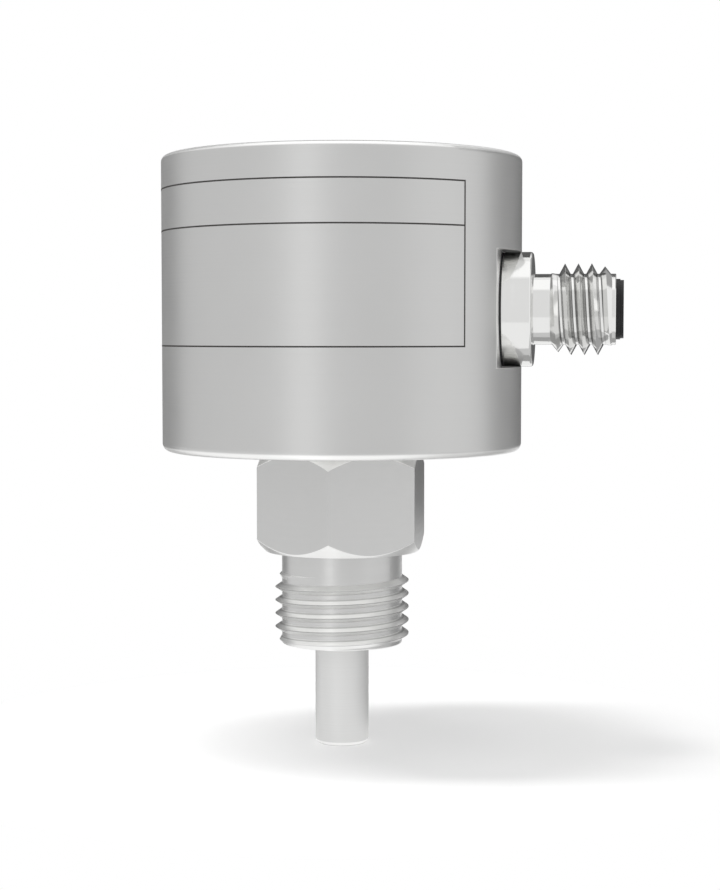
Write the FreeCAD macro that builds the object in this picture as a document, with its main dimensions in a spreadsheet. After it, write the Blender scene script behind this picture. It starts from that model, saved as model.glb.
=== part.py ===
"""Electronic flow switch: a round steel housing with a side plug, a hexagon screw-in fitting and a probe.

The heated probe tip and a reference element stand in the flow; two boards in the housing compare them
and work a relay. The origin is on the probe's axis at the hexagon's lower face, +Z runs up through the
housing and +X out along the plug. Lengths are millimetres.
"""
import FreeCAD
import Part
import Sketcher
import math
import os
from types import SimpleNamespace
from FreeCAD import Placement, Rotation, Vector

SIZES = {
    # Round housing, turned from bar
    "drum_diameter": 48.0,
    "drum_height": 39.0,
    "drum_wall": 4.0,
    "drum_floor": 3.0,
    "drum_top_round": 0.8,
    "drum_bottom_round": 1.1,
    # Flat milled across the side, where the plug's flange sits
    "seat_depth": 2.5,
    "seat_clearance": 0.05,
    # Screwed cover, flush with the top of the housing
    "cover_ledge": 1.5,
    "cover_flange": 2.0,
    "cover_plate": 2.6,
    "cover_skirt": 5.6,
    "cover_skirt_wall": 2.4,
    "cover_play": 0.1,
    "cover_edge": 0.3,
    "slip_washer": 0.4,
    "spanner_hole": 3.2,
    "spanner_depth": 1.6,
    "spanner_circle": 28.0,
    # Status window in the middle of the cover
    "lens_head": 9.0,
    "lens_head_height": 1.2,
    "lens_stem": 6.0,
    "lens_stem_length": 3.0,
    "lens_gasket": 0.4,
    # Hexagon fitting with its process thread, drawn at the thread's outside diameter
    "hex_across_flats": 21.0,
    "hex_height": 13.5,
    "hex_lower_face": 20.6,
    "hex_upper_face": 20.2,
    "shank_length": 12.5,
    "neck_diameter": 16.2,
    "neck_length": 2.9,
    "thread_diameter": 18.0,
    "thread_lead": 0.9,
    "shank_tail": 0.5,
    "shank_edge": 0.5,
    "spigot_diameter": 13.0,
    "spigot_spare": 0.7,
    "spigot_bore": 6.0,
    "locknut_across_flats": 17.0,
    "locknut_height": 3.0,
    "lock_washer": 0.8,
    "nut_edge": 0.6,
    # Closed probe sleeve, pushed up to a shoulder in the fitting and welded at its end face
    "probe_diameter": 7.2,
    "probe_length": 13.6,
    "probe_wall": 0.5,
    "probe_tip_wall": 0.8,
    "probe_tip_round": 0.7,
    "probe_socket": 14.0,
    # Ceramic holder with the heated and the reference element
    "paste_depth": 0.6,
    "holder_rise": 6.0,
    "holder_flat": 1.2,
    "element_length": 3.2,
    "element_width": 1.6,
    "element_thickness": 0.7,
    "element_inset": 0.8,
    "element_spacing": 11.0,
    "sensor_lead": 0.8,
    "sensor_lead_offset": 1.3,
    "bush_height": 2.0,
    # Side plug, drawn at its thread's outside diameter
    "plug_rise": 18.8,
    "plug_flange_diameter": 15.1,
    "plug_flange": 4.1,
    "plug_flange_round": 0.35,
    "plug_barrel_diameter": 9.3,
    "plug_barrel": 10.8,
    "plug_neck": 2.3,
    "plug_thread_diameter": 12.0,
    "plug_thread_length": 8.0,
    "plug_thread_lead": 0.8,
    "plug_bore": 8.0,
    "plug_rear_bore": 6.8,
    "plug_bore_depth": 16.0,
    "plug_spigot_diameter": 10.0,
    "plug_spigot_spare": 0.8,
    "plug_groove_land": 0.3,
    "plug_nut_across_flats": 14.0,
    "plug_nut_height": 3.0,
    "saddle_diameter": 14.0,
    "saddle_web": 2.4,
    # Keyed pin carrier with a stepped rim, proud of the barrel
    "carrier_rim": 0.55,
    "carrier_tip": 0.45,
    "carrier_step": 0.15,
    "socket_diameter": 6.6,
    "socket_depth": 7.0,
    "key_width": 1.0,
    "key_depth": 0.45,
    "key_recess": 1.0,
    "pin_circle": 4.6,
    "pin_diameter": 0.9,
    "pin_recess": 1.0,
    "pin_tail": 1.2,
    "pin_round": 0.25,
    "plug_lead": 1.1,
    "plug_lead_run": 1.5,
    "plug_lead_bend": 3.0,
    "plug_lead_step": 2.0,
    # Two round boards on spacers
    "board_gap": 1.0,
    "board_thickness": 1.6,
    "board_flat": 12.5,
    "board_clearance": 1.0,
    "display_gap": 1.3,
    "spacer_inset": 5.5,
    "spacer_across_flats": 5.0,
    "stud_diameter": 2.4,
    "stud_depth": 2.2,
    "stud_engagement": 2.6,
    "stud_spare": 0.6,
    "screw_head": 4.5,
    "screw_head_height": 1.8,
    "screw_head_round": 0.6,
    # Relay on the lower board: a hinged armature over a coil, its arm between two contacts
    "relay_length": 15.5,
    "relay_width": 10.5,
    "relay_height": 11.5,
    "relay_gap": 1.25,
    "relay_round": 0.6,
    "relay_wall": 0.6,
    "relay_base": 1.6,
    "yoke_thickness": 1.0,
    "yoke_width": 6.0,
    "yoke_height": 7.3,
    "yoke_offset": 0.9,
    "coil_diameter": 6.4,
    "coil_winding": 5.6,
    "coil_flange": 0.6,
    "coil_gap": 0.3,
    "core_diameter": 2.4,
    "air_gap": 0.35,
    "pivot_play": 0.05,
    "armature_thickness": 0.9,
    "armature_reach": 5.5,
    "arm_offset": 2.3,
    "arm_thickness": 0.3,
    "arm_width": 3.0,
    "arm_drop": 4.5,
    "button_diameter": 1.4,
    "button_proud": 0.3,
    "contact_post": 0.45,
    "contact_height": 4.6,
    "contact_play": 0.05,
    "contact_gap": 0.32,
    # Other parts on the lower board
    "capacitor_diameter": 6.3,
    "capacitor_height": 11.5,
    "capacitor_inset": 0.3,
    "capacitor_crimp": 0.5,
    "regulator_length": 6.5,
    "regulator_width": 6.0,
    "regulator_height": 2.3,
    "regulator_inset": 5.0,
    "link_pitch": 1.5,
    "link_pin": 0.6,
    "link_strip": 2.0,
    "link_strip_height": 2.5,
    "link_inset": 6.0,
    "terminal_diameter": 1.8,
    "terminal_height": 0.8,
    # Parts on the upper board
    "led_diameter": 3.0,
    "led_height": 3.7,
    "led_rim": 0.8,
    "led_flat": 0.3,
    "trimmer_side": 6.5,
    "trimmer_height": 4.0,
    "trimmer_inset": 8.5,
    "rotor_diameter": 4.6,
    "rotor_height": 1.4,
    "rotor_proud": 0.3,
    "rotor_play": 0.05,
    "rotor_slot": 0.7,
    "rotor_slot_length": 3.7,
    "rotor_slot_depth": 0.8,
    "controller_side": 7.0,
    "controller_height": 1.2,
    "controller_back": 7.0,
    "controller_offset": 5.5,
    "chip_length": 1.6,
    "chip_width": 0.8,
    "chip_height": 0.6,
    "chip_pitch": 2.4,
    "chip_row": 9.0,
    # Seal cords and fits
    "seal_cord": 1.3,
    "plug_seal_cord": 1.1,
    "seal_fit": 0.05,
    "fit": 0.03,
    "hole_play": 0.1,
}


class Size:
    """A length with its value now and the sheet expression that it follows."""

    def __init__(self, value, text):
        self.value = value
        self.text = text

    def __add__(self, other):
        other = as_size(other)
        return Size(self.value + other.value, f"({self.text} + {other.text})")

    def __sub__(self, other):
        other = as_size(other)
        return Size(self.value - other.value, f"({self.text} - {other.text})")

    def __mul__(self, factor):
        return Size(self.value * factor, f"({self.text} * {factor:.9f})")

    def __truediv__(self, factor):
        return Size(self.value / factor, f"({self.text} / {factor:.9f})")

    def __neg__(self):
        return self * -1


def as_size(number):
    return number if isinstance(number, Size) else Size(float(number), f"{number:.9f}")


document = FreeCAD.newDocument("flow_switch")
sheet = document.addObject("Spreadsheet::Sheet", "sizes")
for row, (alias, number) in enumerate(SIZES.items(), 1):
    sheet.set(f"A{row}", alias.replace("_", " "))
    sheet.set(f"B{row}", str(number))
    sheet.setAlias(f"B{row}", alias)
document.recompute()
size = SimpleNamespace(**{alias: Size(number, f"sizes.{alias}") for alias, number in SIZES.items()})
zero = as_size(0)
pieces = []


def keep(piece, label):
    """List a finished sub-part under the name of its file."""
    piece.Label = label
    pieces.append(piece)
    return piece


def new_body(label):
    return keep(document.addObject("PartDesign::Body", label), label)


def place(piece, x=zero, y=zero, z=zero, rotation=None):
    """Put a sub-part at a point that follows the sheet."""
    piece.Placement = Placement(Vector(x.value, y.value, z.value), rotation or Rotation())
    for axis, distance in (("x", x), ("y", y), ("z", z)):
        piece.setExpression(f"Placement.Base.{axis}", distance.text)
    return piece


def new_sketch(piece, what, role, lift):
    sketch = piece.newObject("Sketcher::SketchObject", f"{piece.Name}_{what}_sketch")
    plane = next(feature for feature in piece.Origin.OriginFeatures if feature.Role == role)
    sketch.AttachmentSupport = [(plane, "")]
    sketch.MapMode = "FlatFace"
    sketch.setExpression("AttachmentOffset.Base.z", lift.text)
    return sketch


def bind(sketch, kind, *spot, distance):
    index = sketch.addConstraint(Sketcher.Constraint(kind, *spot, distance.value))
    sketch.setExpression(f"Constraints[{index}]", distance.text)


def draw_outline(sketch, corners):
    """Draw a closed outline of straight edges, each corner held by two bound distances."""
    corners = [(as_size(x), as_size(y)) for x, y in corners]
    first = sketch.GeometryCount
    count = len(corners)
    for index, (x, y) in enumerate(corners):
        next_x, next_y = corners[(index + 1) % count]
        start = Vector(x.value, y.value, 0)
        end = Vector(next_x.value, next_y.value, 0)
        sketch.addGeometry(Part.LineSegment(start, end), False)
    for index, (x, y) in enumerate(corners):
        following = first + (index + 1) % count
        sketch.addConstraint(Sketcher.Constraint("Coincident", first + index, 2, following, 1))
        bind(sketch, "DistanceX", -1, 1, first + index, 1, distance=x)
        bind(sketch, "DistanceY", -1, 1, first + index, 1, distance=y)


def draw_circle(sketch, x, y, radius):
    x, y = as_size(x), as_size(y)
    circle = Part.Circle(Vector(x.value, y.value, 0), Vector(0, 0, 1), radius.value)
    index = sketch.addGeometry(circle, False)
    bind(sketch, "DistanceX", -1, 1, index, 3, distance=x)
    bind(sketch, "DistanceY", -1, 1, index, 3, distance=y)
    bind(sketch, "Radius", index, distance=radius)


def finish_feature(piece, feature, volume_before, cut):
    """Recompute, and stop if an addition added nothing or a cut removed nothing."""
    document.recompute()
    change = piece.Shape.Volume - volume_before
    if (change >= 0) if cut else (change <= 0):
        raise RuntimeError(f"{feature.Name} changes nothing")


def volume(piece):
    return piece.Shape.Volume if piece.Tip else 0.0


def turn(piece, what, *outlines, cut=False):
    """Revolve outlines of (radius, height) round the piece's Z axis, or cut them out."""
    before = volume(piece)
    sketch = new_sketch(piece, what, "XZ_Plane", zero)
    for outline in outlines:
        draw_outline(sketch, outline)
    kind = "PartDesign::Groove" if cut else "PartDesign::Revolution"
    feature = piece.newObject(kind, f"{piece.Name}_{what}")
    feature.Profile = sketch
    feature.ReferenceAxis = (sketch, ["V_Axis"])
    feature.Angle = 360
    finish_feature(piece, feature, before, cut)


def extrude(piece, what, start, length, outlines=(), circles=(), cut=False, down=False, role="XY_Plane"):
    """Pad or pocket outlines and circles from a plane, along its normal or down against it."""
    before = volume(piece)
    sketch = new_sketch(piece, what, role, as_size(start))
    for outline in outlines:
        draw_outline(sketch, outline)
    for circle in circles:
        draw_circle(sketch, *circle)
    feature = piece.newObject("PartDesign::Pocket" if cut else "PartDesign::Pad", f"{piece.Name}_{what}")
    feature.Profile = sketch
    feature.setExpression("Length", as_size(length).text)
    feature.Reversed = down != cut
    finish_feature(piece, feature, before, cut)


def round_edges(piece, radius, chosen):
    """Round the edges of the piece that the given test picks."""
    feature = piece.newObject("PartDesign::Fillet", f"{piece.Name}_round")
    base = feature.BaseFeature
    edges = [f"Edge{index}" for index, edge in enumerate(base.Shape.Edges, 1) if chosen(edge)]
    feature.Base = (base, edges)
    feature.setExpression("Radius", radius.text)
    document.recompute()


def rim(radius, height):
    """A test for the round edge of this radius at this height."""

    def chosen(edge):
        curve = edge.Curve
        if not isinstance(curve, Part.Circle):
            return False
        return abs(curve.Radius - radius.value) < 0.001 and abs(curve.Center.z - height.value) < 0.001

    return chosen


def above(height):
    """A test for the edges that lie wholly or partly above this height."""
    return lambda edge: edge.BoundBox.ZMax > height.value + 0.001


def hexagon(across_flats, centre=(zero, zero), corner_angle=0.0):
    """Corners of a hexagon, one of them at this angle from X."""
    corners = []
    for index in range(6):
        angle = math.radians(corner_angle + 60 * index)
        reach = across_flats / math.sqrt(3)
        corners.append((centre[0] + reach * math.cos(angle), centre[1] + reach * math.sin(angle)))
    return corners


def rectangle(length, width, x=zero, y=zero):
    """Corners of a rectangle about a point, its length along X."""
    west, east = x - length / 2, x + length / 2
    south, north = y - width / 2, y + width / 2
    return [(west, south), (east, south), (east, north), (west, north)]


def ring_of(count, radius, first_angle):
    """Points spaced evenly round the axis."""
    angles = [math.radians(first_angle + 360 * index / count) for index in range(count)]
    return [(radius * math.cos(angle), radius * math.sin(angle)) for angle in angles]


def seal_ring(label, middle_radius, cord):
    """A rubber ring of round cord."""
    ring = keep(document.addObject("Part::Torus", label), label)
    ring.setExpression("Radius1", middle_radius.text)
    ring.setExpression("Radius2", (cord / 2).text)
    return ring


def flat_ring(label, inner_radius, outer_radius, bottom, thickness):
    ring = new_body(label)
    top = bottom + thickness
    turn(ring, "ring", [
        (inner_radius, bottom),
        (outer_radius, bottom),
        (outer_radius, top),
        (inner_radius, top),
    ])
    return ring


def hexagon_nut(label, across_flats, height, bore_radius, bottom, corner_angle):
    """A nut with both ends chamfered round."""
    nut = new_body(label)
    outline = hexagon(across_flats, corner_angle=corner_angle)
    extrude(nut, "hexagon", bottom, height, outlines=[outline])
    extrude(nut, "bore", bottom, height, circles=[(0, 0, bore_radius)], cut=True)
    reach = across_flats
    face = across_flats / 2
    lower = [(face, bottom), (reach, bottom), (reach, bottom + (reach - face) * chamfer_slope)]
    top = bottom + height
    upper = [(face, top), (reach, top), (reach, top - (reach - face) * chamfer_slope)]
    turn(nut, "corners", lower, upper, cut=True)
    return nut


def block(label, bottom, length, width, height, x=zero, y=zero, edge_round=None):
    """A moulded block standing on a board, its upper edges rounded."""
    piece = new_body(label)
    extrude(piece, "block", bottom, height, outlines=[rectangle(length, width, x, y)])
    if edge_round:
        round_edges(piece, edge_round, above(bottom))
    return piece


chamfer_slope = math.tan(math.radians(30))

# Levels and radii that several pieces share
drum_radius = size.drum_diameter / 2
bore_radius = drum_radius - size.drum_wall
drum_top = size.hex_height + size.drum_height
floor_top = size.hex_height + size.drum_floor
cover_radius = bore_radius + size.cover_ledge
flange_bottom = drum_top - size.cover_flange
ledge = flange_bottom - size.slip_washer
skirt_radius = bore_radius - size.cover_play
skirt_bottom = flange_bottom - size.cover_skirt
display_top = skirt_bottom - size.display_gap
display_bottom = display_top - size.board_thickness
washer_top = floor_top + size.lock_washer
spigot_radius = size.spigot_diameter / 2
spigot_top = washer_top + size.locknut_height + size.spigot_spare
power_bottom = spigot_top + size.board_clearance
power_top = power_bottom + size.board_thickness
plug_height = size.hex_height + size.plug_rise
seat = drum_radius - size.seat_depth
plug_spigot_radius = size.plug_spigot_diameter / 2
board_radius = bore_radius - size.board_gap
spacer_circle = bore_radius - size.spacer_inset
spacer_spots = ring_of(3, spacer_circle, 60)
stud_radius = size.stud_diameter / 2
stud_hole = stud_radius + size.fit

# Round housing: a turned cup with a milled seat and a hole for the plug, and tapped holes for the spacers
drum = new_body("housing_drum")
spigot_hole = spigot_radius + size.hole_play
lid_bore = cover_radius + size.cover_play
turn(drum, "cup", [
    (spigot_hole, size.hex_height),
    (drum_radius, size.hex_height),
    (drum_radius, drum_top),
    (lid_bore, drum_top),
    (lid_bore, ledge),
    (bore_radius, ledge),
    (bore_radius, floor_top),
    (spigot_hole, floor_top),
])
seat_half = size.plug_flange_diameter / 2 + size.seat_clearance
seat_outline = rectangle(size.drum_diameter, seat_half * 2, zero, plug_height)
extrude(drum, "seat", seat, size.seat_depth * 2, outlines=[seat_outline], cut=True, role="YZ_Plane")
plug_hole = (zero, plug_height, plug_spigot_radius + size.hole_play)
extrude(drum, "plug_hole", zero, drum_radius, circles=[plug_hole], cut=True, role="YZ_Plane")
tapped = [(x, y, stud_hole) for x, y in spacer_spots]
extrude(drum, "tapped_holes", floor_top, size.stud_depth + size.fit, circles=tapped, cut=True, down=True)
round_edges(drum, size.drum_top_round, rim(drum_radius, drum_top))
round_edges(drum, size.drum_bottom_round, rim(drum_radius, size.hex_height))

# Fitting: hexagon, threaded shank below it and a spigot above it through the floor of the housing
fitting = new_body("process_fitting")
neck_radius = size.neck_diameter / 2
thread_radius = size.thread_diameter / 2
shank_end = -size.shank_length
thread_end = shank_end + size.shank_tail
probe_radius = size.probe_diameter / 2
probe_hole = probe_radius + size.fit
probe_top = shank_end + size.probe_socket
hexagon_outline = hexagon(size.hex_across_flats, corner_angle=30)
extrude(fitting, "hexagon", zero, size.hex_height, outlines=[hexagon_outline])
turn(fitting, "shank", [
    (0, shank_end),
    (neck_radius - size.shank_edge, shank_end),
    (neck_radius, thread_end),
    (thread_radius, thread_end + size.thread_lead),
    (thread_radius, -size.neck_length - size.thread_lead),
    (neck_radius, -size.neck_length),
    (neck_radius, size.hex_height / 2),
    (spigot_radius, size.hex_height / 2),
    (spigot_radius, spigot_top),
    (0, spigot_top),
])
corner_reach = size.hex_across_flats
lower_face = size.hex_lower_face / 2
upper_face = size.hex_upper_face / 2
turn(
    fitting,
    "corners",
    [(lower_face, zero), (corner_reach, zero), (corner_reach, corner_reach - lower_face)],
    [
        (upper_face, size.hex_height),
        (corner_reach, size.hex_height),
        (corner_reach, size.hex_height - corner_reach + upper_face),
    ],
    cut=True,
)
groove_width = size.seal_cord + size.seal_fit * 2
groove_inner = spigot_radius + size.seal_cord
groove_floor = size.hex_height - size.seal_cord - size.seal_fit
turn(
    fitting,
    "bores",
    [(0, shank_end), (probe_hole, shank_end), (probe_hole, probe_top), (0, probe_top)],
    [(0, probe_top), (size.spigot_bore / 2, probe_top), (size.spigot_bore / 2, spigot_top), (0, spigot_top)],
    [
        (groove_inner, groove_floor),
        (groove_inner + groove_width, groove_floor),
        (groove_inner + groove_width, size.hex_height),
        (groove_inner, size.hex_height),
    ],
    cut=True,
)
fitting_seal = seal_ring("fitting_seal_ring", groove_inner + groove_width / 2, size.seal_cord)
place(fitting_seal, z=groove_floor + size.seal_cord / 2 + size.seal_fit / 2)

# The fitting is drawn up to the floor by a washer and a thin nut inside
nut_bore = spigot_radius + size.fit
flat_ring("fitting_lock_washer", nut_bore, size.locknut_across_flats / 2, floor_top, size.lock_washer)
hexagon_nut("fitting_locknut", size.locknut_across_flats, size.locknut_height, nut_bore, washer_top, 30)

# Probe sleeve, closed at its tip
sleeve = new_body("probe_sleeve")
probe_tip = shank_end - size.probe_length
sleeve_inside = probe_radius - size.probe_wall
sleeve_floor = probe_tip + size.probe_tip_wall
turn(sleeve, "tube", [
    (0, probe_tip),
    (probe_radius, probe_tip),
    (probe_radius, probe_top),
    (sleeve_inside, probe_top),
    (sleeve_inside, sleeve_floor),
    (0, sleeve_floor),
])
round_edges(sleeve, size.probe_tip_round, rim(probe_radius, probe_tip))

# Ceramic rod with two flats: the heated element near the tip, the reference element further up
holder_radius = size.spigot_bore / 2 - size.hole_play
holder_bottom = sleeve_floor + size.paste_depth
holder_top = probe_top + size.holder_rise
element_seat = holder_radius - size.holder_flat
window_height = size.element_length + size.element_inset
holder = new_body("element_holder")
turn(holder, "rod", [
    (0, holder_bottom),
    (holder_radius, holder_bottom),
    (holder_radius, holder_top),
    (0, holder_top),
])
element_levels = [holder_bottom + size.element_inset]
element_levels.append(element_levels[0] + size.element_spacing)
windows = []
for level in element_levels:
    middle = level + size.element_length / 2
    windows.append(rectangle(size.spigot_bore, window_height, zero, middle))
extrude(holder, "flats", element_seat, holder_radius, outlines=windows, cut=True, role="YZ_Plane")
for label, level in zip(("heated_element", "reference_element"), element_levels):
    element = keep(document.addObject("Part::Box", label), label)
    element.setExpression("Length", size.element_thickness.text)
    element.setExpression("Width", size.element_width.text)
    element.setExpression("Height", size.element_length.text)
    place(element, x=element_seat, y=-size.element_width / 2, z=level)
paste = keep(document.addObject("Part::Cylinder", "thermal_paste"), "thermal_paste")
paste.setExpression("Radius", (sleeve_inside - size.fit).text)
paste.setExpression("Height", size.paste_depth.text)
place(paste, z=sleeve_floor)

# Four leads run straight up from the holder, through a bush, to the lower board
lead_spots = ring_of(4, size.sensor_lead_offset, 45)
lead_radius = size.sensor_lead / 2
leads = new_body("sensor_leads")
lead_circles = [(x, y, lead_radius) for x, y in lead_spots]
extrude(leads, "leads", holder_top, power_bottom - holder_top, circles=lead_circles)
bush = new_body("lead_bush")
bush_bottom = spigot_top - size.bush_height
turn(bush, "plug", [
    (0, bush_bottom),
    (size.spigot_bore / 2 - size.fit, bush_bottom),
    (size.spigot_bore / 2 - size.fit, spigot_top),
    (0, spigot_top),
])
lead_holes = [(x, y, lead_radius + size.fit) for x, y in lead_spots]
extrude(bush, "lead_holes", bush_bottom, size.bush_height, circles=lead_holes, cut=True)

# Plug shell: turned along its own axis, then laid along X at the plug's height
along_x = Rotation(Vector(0, 1, 0), 90)
shell = new_body("connector_shell")
flange_radius = size.plug_flange_diameter / 2
flange_front = seat + size.plug_flange
barrel_radius = size.plug_barrel_diameter / 2
plug_thread_radius = size.plug_thread_diameter / 2
plug_thread_start = flange_front + size.plug_neck
plug_thread_end = plug_thread_start + size.plug_thread_length
shell_end = flange_front + size.plug_barrel
shell_bore = size.plug_bore / 2
carrier_back = shell_end - size.plug_bore_depth
saddle_face = bore_radius - size.saddle_web
plug_nut_back = saddle_face - size.plug_nut_height
shell_back = plug_nut_back - size.plug_spigot_spare
plug_groove_inner = plug_spigot_radius + size.plug_groove_land
plug_groove_outer = plug_groove_inner + size.plug_seal_cord + size.seal_fit * 2
plug_groove_floor = seat + size.plug_seal_cord + size.seal_fit
turn(shell, "profile", [
    (size.plug_rear_bore / 2, shell_back),
    (plug_spigot_radius, shell_back),
    (plug_spigot_radius, seat),
    (plug_groove_inner, seat),
    (plug_groove_inner, plug_groove_floor),
    (plug_groove_outer, plug_groove_floor),
    (plug_groove_outer, seat),
    (flange_radius, seat),
    (flange_radius, flange_front),
    (barrel_radius, flange_front),
    (barrel_radius, plug_thread_start),
    (plug_thread_radius, plug_thread_start + size.plug_thread_lead),
    (plug_thread_radius, plug_thread_end - size.plug_thread_lead),
    (barrel_radius, plug_thread_end),
    (barrel_radius, shell_end),
    (shell_bore, shell_end),
    (shell_bore, carrier_back),
    (size.plug_rear_bore / 2, carrier_back),
])
round_edges(shell, size.plug_flange_round, rim(flange_radius, flange_front))
place(shell, z=plug_height, rotation=along_x)
plug_seal = seal_ring(
    "connector_seal_ring",
    (plug_groove_inner + plug_groove_outer) / 2,
    size.plug_seal_cord,
)
place(plug_seal, x=seat + size.plug_seal_cord / 2 + size.seal_fit / 2, z=plug_height, rotation=along_x)

# Pin carrier: a moulded plug with a keyed socket, its stepped rim proud of the barrel
carrier = new_body("connector_pin_carrier")
carrier_radius = shell_bore - size.fit
carrier_shoulder = shell_end + size.carrier_rim
carrier_front = carrier_shoulder + size.carrier_tip
socket_radius = size.socket_diameter / 2
socket_floor = carrier_front - size.socket_depth
tip_radius = carrier_radius - size.carrier_step
turn(carrier, "cup", [
    (0, carrier_back),
    (carrier_radius, carrier_back),
    (carrier_radius, carrier_shoulder),
    (tip_radius, carrier_shoulder),
    (tip_radius, carrier_front),
    (socket_radius, carrier_front),
    (socket_radius, socket_floor),
    (0, socket_floor),
])
key_root = (socket_radius + tip_radius) / 2
key_crest = socket_radius - size.key_depth
key_outline = rectangle(key_root - key_crest, size.key_width, -(key_root + key_crest) / 2)
extrude(carrier, "key", socket_floor, size.socket_depth - size.key_recess, outlines=[key_outline])
pin_spots = ring_of(4, size.pin_circle / 2, 45)
pin_radius = size.pin_diameter / 2
pin_holes = [(x, y, pin_radius + size.fit) for x, y in pin_spots]
carrier_depth = socket_floor - carrier_back
extrude(carrier, "pin_holes", carrier_back, carrier_depth, circles=pin_holes, cut=True)
place(carrier, z=plug_height, rotation=along_x)

# Pins, with tails that the leads are soldered to
pins = new_body("connector_pins")
pin_back = shell_back - size.pin_tail
pin_front = carrier_front - size.pin_recess
pin_circles = [(x, y, pin_radius) for x, y in pin_spots]
extrude(pins, "pins", pin_back, pin_front - pin_back, circles=pin_circles)
round_edges(pins, size.pin_round, rim(pin_radius, pin_front))
place(pins, z=plug_height, rotation=along_x)

# Saddle washer: flat for the nut, hollowed to the round wall behind it
saddle_disc = document.addObject("Part::Cylinder", "saddle_disc")
saddle_disc.setExpression("Radius", (size.saddle_diameter / 2).text)
saddle_disc.setExpression("Height", size.saddle_web.text)
place(saddle_disc, x=saddle_face, z=plug_height, rotation=along_x)
saddle_bore = document.addObject("Part::Cylinder", "saddle_bore")
saddle_bore.setExpression("Radius", (plug_spigot_radius + size.hole_play).text)
saddle_bore.setExpression("Height", (size.saddle_web * 2).text)
place(saddle_bore, x=saddle_face - size.saddle_web / 2, z=plug_height, rotation=along_x)
wall_round = document.addObject("Part::Cylinder", "wall_round")
wall_round.setExpression("Radius", (bore_radius - size.fit).text)
wall_round.setExpression("Height", size.drum_height.text)
place(wall_round, z=size.hex_height)
saddle_ring = document.addObject("Part::Cut", "saddle_ring")
saddle_ring.Base = saddle_disc
saddle_ring.Tool = saddle_bore
saddle = keep(document.addObject("Part::Common", "connector_saddle_washer"), "connector_saddle_washer")
saddle.Base = saddle_ring
saddle.Tool = wall_round
plug_nut = hexagon_nut(
    "connector_nut",
    size.plug_nut_across_flats,
    size.plug_nut_height,
    plug_spigot_radius + size.fit,
    plug_nut_back,
    0,
)
place(plug_nut, z=plug_height, rotation=along_x)

# Lower board, on three short spacers screwed into the floor
spacer_outlines = [hexagon(size.spacer_across_flats, spot, 30) for spot in spacer_spots]
stud_circles = [(x, y, stud_radius) for x, y in spacer_spots]
stud_bores = [(x, y, stud_hole) for x, y in spacer_spots]
bore_depth = size.stud_engagement + size.stud_spare
stud_through = size.board_thickness + size.stud_engagement


def spacers(label, bottom, top, stud_length):
    """Three hexagon spacers, each with a stud below and a tapped hole above."""
    row = new_body(label)
    extrude(row, "bodies", bottom, top - bottom, outlines=spacer_outlines)
    extrude(row, "studs", bottom, stud_length, circles=stud_circles, down=True)
    extrude(row, "bores", top, bore_depth, circles=stud_bores, cut=True, down=True)
    return row


def round_board(label, bottom):
    """A round board with a flat towards the plug and holes for the spacers' studs."""
    board = new_body(label)
    extrude(board, "disc", bottom, size.board_thickness, circles=[(0, 0, board_radius)])
    waste = board_radius - size.board_flat
    flat = rectangle(waste * 2, board_radius * 2, board_radius, zero)
    extrude(board, "flat", bottom, size.board_thickness, outlines=[flat], cut=True)
    holes = [(x, y, stud_radius + size.hole_play) for x, y in spacer_spots]
    extrude(board, "holes", bottom, size.board_thickness, circles=holes, cut=True)
    return board


spacers("lower_spacers", floor_top, power_bottom, size.stud_depth)
round_board("power_board", power_bottom)

# Relay: coil and core on an angled yoke, with the armature rocking on the yoke's upper edge
spacer_face = spacer_circle - size.spacer_across_flats / 2
relay_x = size.relay_width / 2 + size.relay_gap - spacer_face
relay_base_top = power_top + size.relay_base
base_inset = (size.relay_wall + size.fit) * 2
block(
    "relay_base",
    power_top,
    size.relay_width - base_inset,
    size.relay_length - base_inset,
    size.relay_base,
    x=relay_x,
)
case = block(
    "relay_case",
    power_top,
    size.relay_width,
    size.relay_length,
    size.relay_height,
    x=relay_x,
    edge_round=size.relay_round,
)
case_hollow = rectangle(
    size.relay_width - size.relay_wall * 2,
    size.relay_length - size.relay_wall * 2,
    x=relay_x,
)
extrude(case, "hollow", power_top, size.relay_height - size.relay_wall, outlines=[case_hollow], cut=True)
yoke_top = relay_base_top + size.yoke_height
yoke_floor = relay_base_top + size.yoke_thickness
yoke_outside = size.yoke_offset + size.yoke_thickness
coil_radius = size.coil_diameter / 2
coil_y = size.yoke_offset - size.coil_gap - coil_radius
core_radius = size.core_diameter / 2
core_top = yoke_top - size.air_gap
frame = new_body("relay_frame")
yoke_outline = [
    (coil_y - coil_radius, relay_base_top),
    (yoke_outside, relay_base_top),
    (yoke_outside, yoke_top),
    (size.yoke_offset, yoke_top),
    (size.yoke_offset, yoke_floor),
    (coil_y - coil_radius, yoke_floor),
]
yoke_start = relay_x - size.yoke_width / 2
extrude(frame, "yoke", yoke_start, size.yoke_width, outlines=[yoke_outline], role="YZ_Plane")
extrude(frame, "core", yoke_floor, core_top - yoke_floor, circles=[(relay_x, coil_y, core_radius)])
coil = new_body("relay_coil")
coil_height = core_top - yoke_floor - size.coil_gap
winding_radius = size.coil_winding / 2
coil_bore = core_radius + size.fit
turn(coil, "bobbin", [
    (coil_bore, zero),
    (coil_radius, zero),
    (coil_radius, size.coil_flange),
    (winding_radius, size.coil_flange),
    (winding_radius, coil_height - size.coil_flange),
    (coil_radius, coil_height - size.coil_flange),
    (coil_radius, coil_height),
    (coil_bore, coil_height),
])
place(coil, x=relay_x, y=coil_y, z=yoke_floor)
armature = new_body("relay_armature")
armature_bottom = yoke_top + size.pivot_play
armature_top = armature_bottom + size.armature_thickness
arm_y = size.yoke_offset + size.arm_offset
arm_outside = arm_y + size.arm_thickness
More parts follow.
